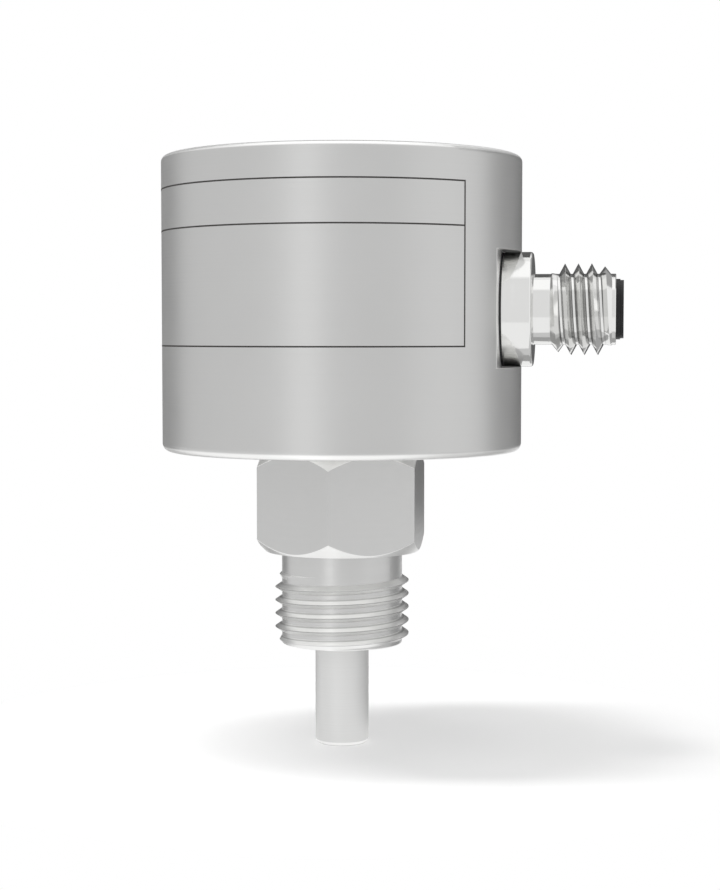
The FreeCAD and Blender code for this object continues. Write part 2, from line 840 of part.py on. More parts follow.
plate_outline = [
    (size.yoke_offset - size.armature_reach, armature_bottom),
    (arm_outside, armature_bottom),
    (arm_outside, armature_top),
    (size.yoke_offset - size.armature_reach, armature_top),
]
arm_bottom = armature_bottom - size.arm_drop
arm_outline = [
    (arm_y, arm_bottom),
    (arm_outside, arm_bottom),
    (arm_outside, armature_top),
    (arm_y, armature_top),
]
arm_start = relay_x - size.arm_width / 2
extrude(armature, "plate", yoke_start, size.yoke_width, outlines=[plate_outline], role="YZ_Plane")
extrude(armature, "arm", arm_start, size.arm_width, outlines=[arm_outline], role="YZ_Plane")
button_radius = size.button_diameter / 2
button = (relay_x, arm_bottom + button_radius, button_radius)
button_front = arm_outside + size.button_proud
button_length = size.arm_thickness + size.button_proud * 2
extrude(armature, "button", -button_front, button_length, circles=[button], role="XZ_Plane")
contacts = new_body("relay_contacts")
rest_contact_y = arm_y - size.button_proud - size.contact_play - size.contact_post / 2
work_contact_y = button_front + size.contact_gap + size.contact_post / 2
contact_outlines = [
    rectangle(size.arm_width, size.contact_post, relay_x, contact_y)
    for contact_y in (rest_contact_y, work_contact_y)
]
extrude(contacts, "posts", relay_base_top, size.contact_height, outlines=contact_outlines)

# Smoothing capacitor and supply regulator beside the relay
can = new_body("supply_capacitor")
can_radius = size.capacitor_diameter / 2
can_top = size.capacitor_height
crimp = size.capacitor_crimp
turn(can, "can", [
    (0, zero),
    (can_radius, zero),
    (can_radius, crimp * 2),
    (can_radius - crimp, crimp * 3),
    (can_radius, crimp * 4),
    (can_radius, can_top - crimp),
    (can_radius - crimp, can_top),
    (0, can_top),
])
can_angle = math.radians(122)
can_circle = board_radius - size.capacitor_inset - can_radius
place(can, x=can_circle * math.cos(can_angle), y=can_circle * math.sin(can_angle), z=power_top)
block(
    "voltage_regulator",
    power_top,
    size.regulator_length,
    size.regulator_width,
    size.regulator_height,
    y=size.regulator_inset - board_radius,
)

# Pin strip that joins the two boards
link_count = 4
link_y = board_radius - size.link_inset
link_start = -size.link_pitch * (link_count - 1) / 2
link_spots = [(link_start + size.link_pitch * index, link_y) for index in range(link_count)]
link_radius = size.link_pin / 2
strip = block(
    "link_strip",
    power_top,
    size.link_pitch * link_count,
    size.link_strip,
    size.link_strip_height,
    y=link_y,
)
strip_holes = [(x, y, link_radius + size.fit) for x, y in link_spots]
extrude(strip, "holes", power_top, size.link_strip_height, circles=strip_holes, cut=True)
link_pins = new_body("link_pins")
link_circles = [(x, y, link_radius) for x, y in link_spots]
extrude(link_pins, "pins", power_top, display_bottom - power_top, circles=link_circles)

# Leads from the plug's pins, bent down to solder terminals on the lower board
terminal_top = power_top + size.terminal_height
lead_turns = []
for x, y in pin_spots:
    height = plug_height - x
    upper = height.value > plug_height.value
    run = size.plug_lead_run + size.plug_lead_step if upper else size.plug_lead_run
    lead_turns.append((pin_back - run, y, height))
terminals = new_body("lead_terminals")
terminal_circles = [
    (bend - size.plug_lead_bend, y, size.terminal_diameter / 2) for bend, y, height in lead_turns
]
extrude(terminals, "posts", power_top, size.terminal_height, circles=terminal_circles)


def bent_lead(bend, y, height):
    """A lead that runs back from its pin and turns down onto its terminal."""
    start = Vector(pin_back.value, y.value, height.value)
    bend_start = Vector(bend.value, y.value, height.value)
    radius = size.plug_lead_bend.value
    bend_end = bend_start + Vector(-radius, 0, -radius)
    slant = radius * math.sin(math.radians(45))
    bend_middle = bend_start + Vector(-slant, 0, slant - radius)
    end = Vector(bend_end.x, bend_end.y, terminal_top.value)
    path = Part.Wire([
        Part.LineSegment(start, bend_start).toShape(),
        Part.Arc(bend_start, bend_middle, bend_end).toShape(),
        Part.LineSegment(bend_end, end).toShape(),
    ])
    section = Part.Circle(start, Vector(-1, 0, 0), size.plug_lead.value / 2).toShape()
    return path.makePipeShell([Part.Wire([section])], True, False)


plug_leads = keep(document.addObject("Part::Feature", "connector_leads"), "connector_leads")
plug_leads.Shape = Part.Compound([bent_lead(*lead) for lead in lead_turns])

# Upper board: status lamp, set-point trimmer and controller, screwed to the tall spacers
spacers("upper_spacers", power_top, display_bottom, stud_through)
round_board("display_board", display_bottom)
screws = new_body("board_screws")
head_circles = [(x, y, size.screw_head / 2) for x, y in spacer_spots]
extrude(screws, "heads", display_top, size.screw_head_height, circles=head_circles)
extrude(screws, "shanks", display_top, stud_through, circles=stud_circles, down=True)
round_edges(screws, size.screw_head_round, rim(size.screw_head / 2, display_top + size.screw_head_height))
lamp = new_body("status_led")
lamp_radius = size.led_diameter / 2
lamp_top = display_top + size.led_height
turn(lamp, "lamp", [
    (0, display_top),
    (lamp_radius + size.led_rim / 2, display_top),
    (lamp_radius + size.led_rim / 2, display_top + size.led_rim),
    (lamp_radius, display_top + size.led_rim),
    (lamp_radius, lamp_top),
    (0, lamp_top),
])
round_edges(lamp, lamp_radius - size.led_flat / 2, rim(lamp_radius, lamp_top))
block(
    "microcontroller",
    display_top,
    size.controller_side,
    size.controller_side,
    size.controller_height,
    x=-size.controller_back,
    y=size.controller_offset,
)
chips = new_body("surface_mount_parts")
chip_count = 5
chip_start = -size.chip_pitch * (chip_count - 1) / 2
chip_outlines = []
for index in range(chip_count):
    chip_y = chip_start + size.chip_pitch * index
    chip_outlines.append(rectangle(size.chip_length, size.chip_width, size.chip_row, chip_y))
extrude(chips, "chips", display_top, size.chip_height, outlines=chip_outlines)

# Set-point trimmer: a square body with a slotted rotor turning in it
trimmer_y = size.trimmer_inset - board_radius
trimmer_top = display_top + size.trimmer_height
rotor_radius = size.rotor_diameter / 2
rotor_bottom = trimmer_top + size.rotor_proud - size.rotor_height
trimmer = block(
    "trimmer_body",
    display_top,
    size.trimmer_side,
    size.trimmer_side,
    size.trimmer_height,
    y=trimmer_y,
)
well_depth = size.rotor_height - size.rotor_proud + size.rotor_play
well = (zero, trimmer_y, rotor_radius + size.rotor_play)
extrude(trimmer, "well", trimmer_top, well_depth, circles=[well], cut=True, down=True)
rotor = new_body("trimmer_rotor")
extrude(rotor, "disc", zero, size.rotor_height, circles=[(0, 0, rotor_radius)])
slot = rectangle(size.rotor_slot_length, size.rotor_slot)
extrude(rotor, "slot", size.rotor_height, size.rotor_slot_depth, outlines=[slot], cut=True, down=True)
place(rotor, y=trimmer_y, z=rotor_bottom)

# Cover: a turned disc with a threaded skirt, two spanner holes and a stepped hole for the window
cover = new_body("top_cover")
plate_bottom = drum_top - size.cover_plate
skirt_inside = skirt_radius - size.cover_skirt_wall
cover_groove_top = ledge - size.seal_cord / 2
cover_groove_bottom = cover_groove_top - size.seal_cord - size.seal_fit * 2
cover_seal_radius = bore_radius - size.seal_fit - size.seal_cord / 2
cover_groove_radius = cover_seal_radius - size.seal_cord / 2 - size.seal_fit
lens_head_radius = size.lens_head / 2
lens_stem_radius = size.lens_stem / 2
lens_seat = drum_top - size.lens_head_height - size.lens_gasket
turn(cover, "disc", [
    (lens_stem_radius + size.fit, plate_bottom),
    (skirt_inside, plate_bottom),
    (skirt_inside, skirt_bottom),
    (skirt_radius, skirt_bottom),
    (skirt_radius, cover_groove_bottom),
    (cover_groove_radius, cover_groove_bottom),
    (cover_groove_radius, cover_groove_top),
    (skirt_radius, cover_groove_top),
    (skirt_radius, flange_bottom),
    (cover_radius, flange_bottom),
    (cover_radius, drum_top - size.cover_edge),
    (cover_radius - size.cover_edge, drum_top),
    (lens_head_radius + size.fit, drum_top),
    (lens_head_radius + size.fit, lens_seat),
    (lens_stem_radius + size.fit, lens_seat),
])
spanner_spots = ring_of(2, size.spanner_circle / 2, 0)
spanner_holes = [(x, y, size.spanner_hole / 2) for x, y in spanner_spots]
extrude(cover, "spanner_holes", drum_top, size.spanner_depth, circles=spanner_holes, cut=True, down=True)
flat_ring("cover_slip_washer", bore_radius + size.fit, cover_radius, ledge, size.slip_washer)
cover_seal = seal_ring("cover_seal_ring", cover_seal_radius, size.seal_cord)
place(cover_seal, z=(cover_groove_bottom + cover_groove_top) / 2)

# Window: a flush clear button whose stem carries the lamp's light up
flat_ring("lens_gasket", lens_stem_radius + size.fit, lens_head_radius, lens_seat, size.lens_gasket)
lens = new_body("status_lens")
lens_bottom = drum_top - size.lens_head_height - size.lens_stem_length
head_bottom = lens_seat + size.lens_gasket
turn(lens, "button", [
    (0, lens_bottom),
    (lens_stem_radius, lens_bottom),
    (lens_stem_radius, head_bottom),
    (lens_head_radius, head_bottom),
    (lens_head_radius, drum_top),
    (0, drum_top),
])

document.recompute()
for item in document.Objects:
    if "Invalid" in item.State or "Error" in item.State:
        raise RuntimeError(f"{item.Name} failed: {item.State}")
for piece in pieces:
    if piece.Shape.isNull() or not piece.Shape.isValid():
        raise RuntimeError(f"{piece.Label} has no valid shape")

os.makedirs("parts", exist_ok=True)
for piece in pieces:
    piece.Shape.exportStep(os.path.join("parts", f"{piece.Label}.step"))
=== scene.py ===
import math

import bmesh
import bpy
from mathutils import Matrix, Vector
from mathutils.geometry import tessellate_polygon


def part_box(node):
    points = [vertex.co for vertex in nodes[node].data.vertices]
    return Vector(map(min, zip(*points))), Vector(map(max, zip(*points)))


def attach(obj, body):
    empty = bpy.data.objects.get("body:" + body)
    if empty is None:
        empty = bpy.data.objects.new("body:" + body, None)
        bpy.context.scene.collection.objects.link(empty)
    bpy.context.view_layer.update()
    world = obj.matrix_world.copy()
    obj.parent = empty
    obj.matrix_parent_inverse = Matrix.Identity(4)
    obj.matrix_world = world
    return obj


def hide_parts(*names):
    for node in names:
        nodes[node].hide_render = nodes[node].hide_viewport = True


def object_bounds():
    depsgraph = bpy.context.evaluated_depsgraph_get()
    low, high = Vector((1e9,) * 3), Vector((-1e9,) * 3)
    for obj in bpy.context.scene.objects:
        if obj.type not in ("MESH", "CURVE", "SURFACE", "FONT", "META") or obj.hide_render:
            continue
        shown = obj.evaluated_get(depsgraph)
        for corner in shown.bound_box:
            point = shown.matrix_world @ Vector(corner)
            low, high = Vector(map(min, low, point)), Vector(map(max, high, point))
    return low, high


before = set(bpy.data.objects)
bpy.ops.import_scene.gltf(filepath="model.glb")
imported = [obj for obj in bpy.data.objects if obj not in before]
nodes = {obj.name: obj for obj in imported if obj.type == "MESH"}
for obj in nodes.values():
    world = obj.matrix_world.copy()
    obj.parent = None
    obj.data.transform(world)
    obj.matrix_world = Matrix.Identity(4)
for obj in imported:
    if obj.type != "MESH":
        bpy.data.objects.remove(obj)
cad_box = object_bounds()

# Housing drum: a cup turned from stainless bar, then belted to a fine satin with its two rims rounded over.
# The lathe leaves faint rings round the axis, and handling leaves the satin slightly clouded.
mm = 0.001
drum_low, drum_top = (corner[2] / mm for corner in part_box("housing_drum"))
plug_height = sum(corner[2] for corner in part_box("connector_shell")) / 2 / mm


def shader_node(material, kind, inputs=(), **settings):
    """Add a node; an input given as a socket is linked, and any other value is set."""
    made = material.node_tree.nodes.new(kind)
    for setting, value in settings.items():
        setattr(made, setting, value)
    for key, value in dict(inputs).items():
        if isinstance(value, bpy.types.NodeSocket):
            material.node_tree.links.new(value, made.inputs[key])
        else:
            made.inputs[key].default_value = value
    return made


def socket_of(material, socket):
    """A socket of the material's shader."""
    return material.node_tree.nodes["Principled BSDF"].inputs[socket]


def new_finish(name, colour, **constants):
    """A material whose even values are set on its shader's own sockets."""
    material = bpy.data.materials.new(name)
    material.use_nodes = True
    socket_of(material, "Base Color").default_value = (*colour, 1)
    for socket, value in constants.items():
        socket_of(material, socket.replace("_", " ")).default_value = value
    return material


def feed(material, socket, source):
    """Link a value to a socket of the material's shader."""
    material.node_tree.links.new(source, socket_of(material, socket))


def fed(material, socket):
    """The value that a socket of the material's shader is linked to."""
    return socket_of(material, socket).links[0].from_socket


def own_place(material):
    """Places in the piece's own frame."""
    return shader_node(material, "ShaderNodeTexCoord").outputs["Object"]


def coordinates(material, centre=(0, 0, 0)):
    """X, Y and Z in the piece's own frame, from a centre given in millimetres."""
    inputs = {0: own_place(material), 1: Vector(centre) * mm}
    shifted = shader_node(material, "ShaderNodeVectorMath", inputs, operation="SUBTRACT")
    return shader_node(material, "ShaderNodeSeparateXYZ", {0: shifted.outputs[0]}).outputs


def noise(material, place, feature, detail=2.0):
    """Noise whose features are about this many millimetres across."""
    inputs = {"Vector": place, "Scale": 1 / (feature * mm), "Detail": detail, "Roughness": 0.55}
    return shader_node(material, "ShaderNodeTexNoise", inputs).outputs["Fac"]


def remap(material, value, low, high, start=0.0, end=1.0, **settings):
    """Carry a value from the range low to high over to the range start to end."""
    inputs = {"Value": value, "From Min": low, "From Max": high, "To Min": start, "To Max": end}
    return shader_node(material, "ShaderNodeMapRange", inputs, **settings).outputs["Result"]


def spread(material, source, low, high):
    """Stretch a noise value, which keeps near its middle, to run from low to high."""
    return remap(material, source, 0.3, 0.7, low, high)


def blend(material, factor, first, second, **settings):
    """The colour between two others."""
    inputs = {"Factor": factor, 6: first, 7: second}
    return shader_node(material, "ShaderNodeMix", inputs, data_type="RGBA", **settings).outputs[2]


def tint(material, source, dark, light):
    """Let a noise value carry the colour between two tones."""
    feed(material, "Base Color", blend(material, source, (*dark, 1), (*light, 1)))


def emboss(material, source, depth, strength):
    """Let a value raise the surface by this many millimetres."""
    inputs = {"Height": source, "Distance": depth * mm, "Strength": strength}
    feed(material, "Normal", shader_node(material, "ShaderNodeBump", inputs).outputs["Normal"])


def shade(colour, factor):
    """A colour made lighter or darker."""
    return tuple(min(1.0, part * factor) for part in colour)


def reckon(material, operation, *values):
    """The result of a Math node."""
    return shader_node(material, "ShaderNodeMath", dict(enumerate(values)), operation=operation).outputs[0]


rim_lean, rim_core, rim_fade = 0.6, 0.2, 0.39
end_lean = 0.7
cloud_size, cloud_tone, cloud_rough = 7.0, 0.025, 0.015
ring_rough, ring_depth = 0.05, 0.01


def lean_by_facing(material, axis):
    """How far the surface leans from the side of a turned piece to its end; a flat end counts as rim."""
    facing = shader_node(material, "ShaderNodeTexCoord").outputs["Normal"]
    along = shader_node(material, "ShaderNodeSeparateXYZ", {0: facing}).outputs[axis]
    return reckon(material, "MINIMUM", reckon(material, "ABSOLUTE", along), end_lean)


def lean_by_height(material, height, low, high, foot, brow):
    """The same with rims as a foot and a brow of the height; the underside gets the painted highlight too.
    """
    rise = reckon(material, "DIVIDE", reckon(material, "SUBTRACT", height, (high - brow) * mm), brow * mm)
    drop = reckon(material, "DIVIDE", reckon(material, "SUBTRACT", (low + foot) * mm, height), foot * mm)
    under = reckon(material, "MINIMUM", drop, end_lean)
    return reckon(material, "MAXIMUM", reckon(material, "MAXIMUM", rise, under), 0.0)


def burnish_and_highlight(material, lean, bright):
    """Brighten rounded rims, where the surface leans from side to end: burnish plus painted highlight."""
    away = reckon(material, "ABSOLUTE", reckon(material, "SUBTRACT", lean, rim_lean))
    wear_and_highlight = remap(material, away, rim_core, rim_fade, 1.0, 0.0)
    feed(material, "Base Color", blend(material, wear_and_highlight, fed(material, "Base Color"), (*bright, 1)))


def turned_metal(
    name, colour, rough, axis="Z", centre=(0, 0, 0), ring=0.25, grain=0.35, detail=4, streak=0.0,
    rim=None, ends=None,
):
    """Metal with fine lathe rings round an axis and a faint clouding; its rims may get a painted highlight.
    """
    material = new_finish(name, colour, Metallic=1.0, Anisotropic=streak)
    place = coordinates(material, centre)
    across = [place[other] for other in "XYZ" if other != axis]
    flat = shader_node(material, "ShaderNodeCombineXYZ", {"X": across[0], "Y": across[1]})
    radius = shader_node(material, "ShaderNodeVectorMath", {0: flat.outputs[0]}, operation="LENGTH")
    inputs = {"X": radius.outputs["Value"], "Y": place[axis]}
    wrapped = shader_node(material, "ShaderNodeCombineXYZ", inputs)
    rings = noise(material, wrapped.outputs[0], ring, detail)
    cloud = noise(material, own_place(material), cloud_size, detail=3)
    tint(material, cloud, shade(colour, 1 - cloud_tone), shade(colour, 1 + cloud_tone))
    if rim:
        lean = lean_by_height(material, place[axis], *ends) if ends else lean_by_facing(material, axis)
        burnish_and_highlight(material, lean, rim)
    fine = spread(material, rings, rough - ring_rough, rough + ring_rough)
    broad = spread(material, cloud, -cloud_rough, cloud_rough)
    feed(material, "Roughness", reckon(material, "ADD", fine, broad))
    emboss(material, rings, ring_depth, grain)
    if streak:
        tangent = shader_node(material, "ShaderNodeTangent", direction_type="RADIAL", axis=axis)
        feed(material, "Tangent", tangent.outputs[0])
    return material


def dress(material, *names):
    """Give CAD nodes this finish."""
    for name in names:
        slots = nodes[name].data.materials
        slots.clear()
        slots.append(material)


steel = (0.60, 0.60, 0.595)
drum_radius = 24.0
drum_foot, drum_brow = 1.05, 0.72
drum_ends = (drum_low, drum_top, drum_foot, drum_brow)
# Rim tone: a real burnished edge, brightened further as a painted highlight.
rim_highlight_tone = (0.95, 0.95, 0.94)
# Milled tone: fresh milled metal, lightened further by painted light that lifts the shade in the slot.
milled_and_lit_tone = (0.93, 0.93, 0.92)
milled_reach, milled_half = 21.4, 7.65
cutter_step, cutter_rough = 0.4, (0.26, 0.34)
satin_steel = turned_metal("satin_turned_steel", steel, 0.36, streak=0.35, rim=rim_highlight_tone, ends=drum_ends)
dress(satin_steel, "housing_drum")


def lighten_milled_seat(material, reach, half_height):
    """Leave the plug's milled flat and shoulders paler than the belted round: milled metal, painted light.
    """
    place = coordinates(material)
    beyond = reckon(material, "GREATER_THAN", place["X"], reach * mm)
    beside = reckon(material, "COMPARE", place["Z"], plug_height * mm, half_height * mm)
    inside = reckon(material, "MULTIPLY", beyond, beside)
    toned = blend(material, inside, fed(material, "Base Color"), (*milled_and_lit_tone, 1))
    feed(material, "Base Color", toned)
    cutter_marks = spread(material, noise(material, place["Y"], cutter_step, detail=3), *cutter_rough)
    inputs = {0: inside, 2: fed(material, "Roughness"), 3: cutter_marks}
    feed(material, "Roughness", shader_node(material, "ShaderNodeMix", inputs).outputs[0])


lighten_milled_seat(satin_steel, milled_reach, milled_half)

# Etched frame: a border of thin lines with one divider, burnt into the drum's front by a laser.
# It leaves a dark oxide a few thousandths deep; the fields inside the lines are bare.
etch_width = 0.20
etch_proud = 0.012
etch_sunk = 0.05
etch_levels = [drum_low + rise for rise in (14.0, 29.0, 34.5)]
etch_right = math.radians(-42.0)
etch_left = math.radians(-198.5)
etch_steps = 96


def polar(radius, height, angle):
    """A point at a distance from the axis."""
    return (radius * math.cos(angle), radius * math.sin(angle), height)


def put(name, data):
    """Put an object into the scene."""
    made = bpy.data.objects.new(name, data)
    bpy.context.scene.collection.objects.link(made)
    return made


def skin(name, faces, body, material, sharp=30):
    """Make a piece from faces given by their corners in millimetres, joining corners at one place."""
    index, corners, loops = {}, [], []
    for face in faces:
        loop = []
        for point in face:
            key = tuple(round(value * 1e5) for value in point)
            if key not in index:
                index[key] = len(corners)
                corners.append(Vector(point) * mm)
            if index[key] not in loop:
                loop.append(index[key])
        if len(loop) > 2:
            loops.append(loop)
    mesh = bpy.data.meshes.new(name)
    mesh.from_pydata(corners, [], loops)
    shape = bmesh.new()
    shape.from_mesh(mesh)
    bmesh.ops.recalc_face_normals(shape, faces=shape.faces)
    shape.to_mesh(mesh)
    shape.free()
    mesh.shade_smooth()
    mesh.set_sharp_from_angle(angle=math.radians(sharp))
    mesh.materials.append(material)
    piece = put(name, mesh)
    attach(piece, body)
    even = piece.modifiers.new("even_shading", "WEIGHTED_NORMAL")
    even.keep_sharp = True
    return piece


def etched_lines():
    """Faces of the border: the cells of an angle and height grid that lines cover, as thin closed ribs."""
    half = etch_width / 2
    half_turn = half / drum_radius
    run = [etch_left + (etch_right - etch_left) * step / etch_steps for step in range(1, etch_steps)]
    left_edge, right_edge = ([edge - half_turn, edge + half_turn] for edge in (etch_left, etch_right))
    angles = [*left_edge, *run, *right_edge]
    heights = [level + side for level in etch_levels for side in (-half, half)]
    columns, rows = len(angles) - 1, len(heights) - 1

    def covered(column, row):
        if not (0 <= column < columns and 0 <= row < rows):
            return False
        return row % 2 == 0 or column in (0, columns - 1)

    outer, inner = drum_radius + etch_proud, drum_radius - etch_sunk
    faces = []
    for column in range(columns):
        for row in range(rows):
            if not covered(column, row):
                continue
            start, end = angles[column], angles[column + 1]
            low, high = heights[row], heights[row + 1]
            for radius in (outer, inner):
                spots = ((low, start), (low, end), (high, end), (high, start))
                faces.append([polar(radius, *spot) for spot in spots])
            edges = (
                (covered(column - 1, row), (low, start), (high, start)),
                (covered(column + 1, row), (low, end), (high, end)),
                (covered(column, row - 1), (low, start), (low, end)),
                (covered(column, row + 1), (high, start), (high, end)),
            )
            for neighbour, first, second in edges:
                if not neighbour:
                    spots = ((inner, first), (inner, second), (outer, second), (outer, first))
                    faces.append([polar(radius, *spot) for radius, spot in spots])
    return faces


def grained(name, colour, grain, tones, rough, depth, strength, detail=4, cloud=None, **constants):
    """A finish with a fine grain in roughness and relief; its tone follows the grain or a wider cloud."""
    material = new_finish(name, colour, **constants)
    place = own_place(material)
    fine = noise(material, place, grain, detail)
    broad = noise(material, place, cloud) if cloud else fine
    tint(material, broad, *(shade(colour, tone) for tone in tones))
    feed(material, "Roughness", spread(material, fine, *rough))
    emboss(material, fine, depth, strength)
    return material


etch = grained(
    "laser_etch", (0.045, 0.042, 0.040), grain=0.15, tones=(0.8, 1.8), rough=(0.55, 0.75),
    depth=0.005, strength=0.4, detail=3, Metallic=0.3,
)
skin("etched_frame", etched_lines(), "housing", etch)

# Process fitting: turned from hexagon stainless bar, its corners chamfered round so the flats end in arcs.
# Below the plain neck the shank has a right-hand V thread; the spigot above goes through the drum's floor.
hex_flat = 10.5
hex_corner = 12.115
hex_height = drum_low
hex_lower, hex_upper = 10.3, 10.1
hex_break = 0.07
neck, thread_crest = 8.1, 9.0
shank_end, spigot_top = (corner[2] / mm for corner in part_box("process_fitting"))
thread_pitch = 1.79
thread_phase = shank_end + 6.623
thread_bottom, thread_top = shank_end + 0.15, shank_end + 9.6
probe_shoulder = shank_end + 14.0
seal_groove, groove_outer, groove_inner = hex_height - 1.35, 9.2, 7.8
spigot, spigot_cut, lead_hole, probe_bore = 6.5, 0.3, 3.0, 3.63
end_edge, end_cut, end_inset = 7.85, 0.06, 0.05
neck_fillet = 0.15
# The fitting's chamfers and thread flanks get this tone: partly burnish, partly painted highlight.
fitting_highlight_tone = (0.93, 0.93, 0.92)
v_profile = ((0.0, 0.0), (0.28, 0.0), (0.60, 0.93), (0.625, 1.0), (0.655, 1.0), (0.68, 0.93))
corner_break = math.radians(0.12)


def even_turn(steps):
    """Angles at even steps all the way round."""
    return [math.tau * step / steps for step in range(steps)]


hex_corners = [math.radians(30 + 60 * side) for side in range(6)]
around = sorted(
    even_turn(144) + [corner + shift for corner in hex_corners for shift in (-corner_break, corner_break)]
)


def ring(radius, height, angles):
    """Points round the axis; radius and height may each be a number or a function of the angle."""
    made = []
    for angle in angles:
        reach = radius(angle) if callable(radius) else radius
        level = height(angle) if callable(height) else height
        made.append(polar(reach, level, angle))
    return made


def loft(rings):
    """Faces between each ring and the next."""
    faces = []
    for low, high in zip(rings, rings[1:]):
        for index, point in enumerate(low):
            after = (index + 1) % len(low)
            faces.append([point, low[after], high[after], high[index]])
    return faces


def revolve(outline, angles=around):
    """Faces of an open outline of (radius, height) turned round the axis."""
    return loft([ring(radius, height, angles) for radius, height in outline])


def crest_part(profile):
    """Where the crest lies along a thread's profile."""
    return (profile[3][0] + profile[4][0]) / 2


def thread(root, crest, pitch, phase, bottom, top, profile, angles=around):
    """Faces of a right-hand thread, outside or inside, that grows out of plain ends at the root."""
    depth = abs(crest - root)
    outward = 1 if crest > root else -1
    turns = range(math.floor((bottom - phase) / pitch) - 1, math.ceil((top - phase) / pitch) + 1)
    peak = crest_part(profile)
    rows = [(turn + part - peak, height) for turn in turns for part, height in profile]
    columns = [*angles, angles[0] + math.tau]
    grid = []
    for part, height in rows:
        line = []
        for angle in columns:
            level = min(max(phase + pitch * (part + angle / math.tau), bottom), top)
            proud = min(height * depth, level - bottom, top - level)
            line.append(polar(root + proud * outward, level, angle))
        grid.append(line)
    faces = []
    for low, high in zip(grid, grid[1:]):
        for index in range(len(columns) - 1):
            faces.append([low[index], low[index + 1], high[index + 1], high[index]])
    return faces


def hex_reach(angle):
    """Distance from the axis to the hexagon's side, with the sharp corner broken."""
    off = (angle + math.pi / 6) % (math.pi / 3) - math.pi / 6
    return min(hex_flat / math.cos(off), hex_corner)


def hexagon_faces():
    """The six sides and both chamfers, with the edges between them broken."""
    inset = hex_break * 0.7
    return loft([
        ring(hex_lower, 0, around),
        ring(lambda a: hex_reach(a) - inset, lambda a: hex_reach(a) - hex_lower - inset, around),
        ring(hex_reach, lambda a: hex_reach(a) - hex_lower + hex_break, around),
        ring(hex_reach, lambda a: hex_height - hex_reach(a) + hex_upper - hex_break, around),
        ring(
            lambda a: hex_reach(a) - inset,
            lambda a: hex_height - hex_reach(a) + hex_upper + inset,
            around,
        ),
        ring(hex_upper, hex_height, around),
    ])


fitting_faces = hexagon_faces()
fitting_faces += thread(
    neck, thread_crest, thread_pitch, thread_phase, thread_bottom, thread_top, v_profile
)
fitting_faces += revolve([
    (neck, thread_top),
    (neck, -neck_fillet),
    (neck + neck_fillet, 0),
    (hex_lower, 0),
])
fitting_faces += revolve([
    (hex_upper, hex_height),
    (groove_outer, hex_height),
    (groove_outer, seal_groove),
    (groove_inner, seal_groove),
    (groove_inner, hex_height),
    (spigot, hex_height),
    (spigot, spigot_top - spigot_cut),
    (spigot - spigot_cut, spigot_top),
    (lead_hole, spigot_top),
    (lead_hole, probe_shoulder),
    (probe_bore, probe_shoulder),
    (probe_bore, shank_end),
    (end_edge, shank_end),
    (neck - end_inset, shank_end + end_cut),
    (neck, thread_bottom),
])
mark_fade = 0.8


def paint_thread_shade(material, pitch, phase, profile, span, marks, tone, axis="Z", centre=(0, 0, 0)):
    """Darken thin lines along a thread's roots and crests, as painted shade.

    A mark is a part of the profile and half of its width there. The marks fade out near the span's ends.
    """
    place = coordinates(material, centre)
    along = place[axis]
    across = place["X"] if axis == "Z" else reckon(material, "MULTIPLY", place["Z"], -1.0)
    turn = reckon(material, "DIVIDE", reckon(material, "ARCTAN2", place["Y"], across), math.tau)
    level = reckon(material, "DIVIDE", reckon(material, "SUBTRACT", along, phase * mm), pitch * mm)
    part = reckon(material, "SUBTRACT", level, turn)
    shown = 0.0
    for middle, half in marks:
        shifted = reckon(material, "ADD", part, crest_part(profile) - middle)
        off = reckon(material, "PINGPONG", shifted, 0.5)
        line = remap(material, off, half * 0.5, half * 1.5, 1.0, 0.0)
        shown = reckon(material, "MAXIMUM", shown, line)
    for end, inner in ((span[0], span[0] + mark_fade), (span[1], span[1] - mark_fade)):
        inside = remap(material, along, end * mm, inner * mm)
        shown = reckon(material, "MULTIPLY", shown, inside)
    dark = (tone, tone, tone, 1)
    marked = blend(material, shown, fed(material, "Base Color"), dark, blend_type="MULTIPLY")
    feed(material, "Base Color", marked)


fitting_steel = turned_metal(
    "turned_fitting_steel", steel, 0.35, ring=0.5, grain=0.02, detail=2, rim=fitting_highlight_tone
)
thread_runout = 1.1
thread_span = (thread_bottom, thread_top - thread_runout)
# Painted shade: dark lines near the process thread's roots and crests.
root_and_crest = ((0.92, 0.04), (0.62, 0.04))
paint_thread_shade(fitting_steel, thread_pitch, thread_phase, v_profile, thread_span, root_and_crest, tone=0.65)
fitting = skin("fitting_with_thread", fitting_faces, "housing", fitting_steel, sharp=18)
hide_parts("process_fitting")

# Seal ring, washer and thin nut that draw the fitting up to the drum's floor, out of sight inside.
# The ring is black rubber cord; washer and nut are zinc-plated steel with a faint yellow cast.
rubber = grained(
    "black_rubber", (0.02, 0.02, 0.021), grain=0.2, tones=(1.0, 2.0), rough=(0.55, 0.75),
    depth=0.01, strength=0.3, Specular_IOR_Level=0.35,
)
dress(rubber, "fitting_seal_ring", "connector_seal_ring", "cover_seal_ring", "lens_gasket", "lead_bush")
zinc = turned_metal("zinc_plated_steel", (0.56, 0.55, 0.51), 0.32, ring=0.4, grain=0.3)
dress(zinc, "fitting_lock_washer", "fitting_locknut", "connector_saddle_washer")

# Probe: a closed tube drawn from thin stainless, pushed up into the fitting and welded round its end.
# Inside stand a white ceramic rod with two thin-film elements, heat paste and four stiff leads.
# The probe's steel is a lighter copy of the drum's steel: painted light that brightens the probe.
probe_steel = turned_metal(
    "drawn_probe_steel", shade(steel, 1.27), 0.58, ring=0.2, grain=0.15, streak=0.2, rim=rim_highlight_tone
)
dress(probe_steel, "probe_sleeve")
ceramic = grained(
    "white_ceramic", (0.82, 0.81, 0.77), grain=0.12, tones=(0.93, 1.03), rough=(0.45, 0.6),
    depth=0.006, strength=0.3,
)
dress(ceramic, "element_holder", "heated_element", "reference_element", "thermal_paste")


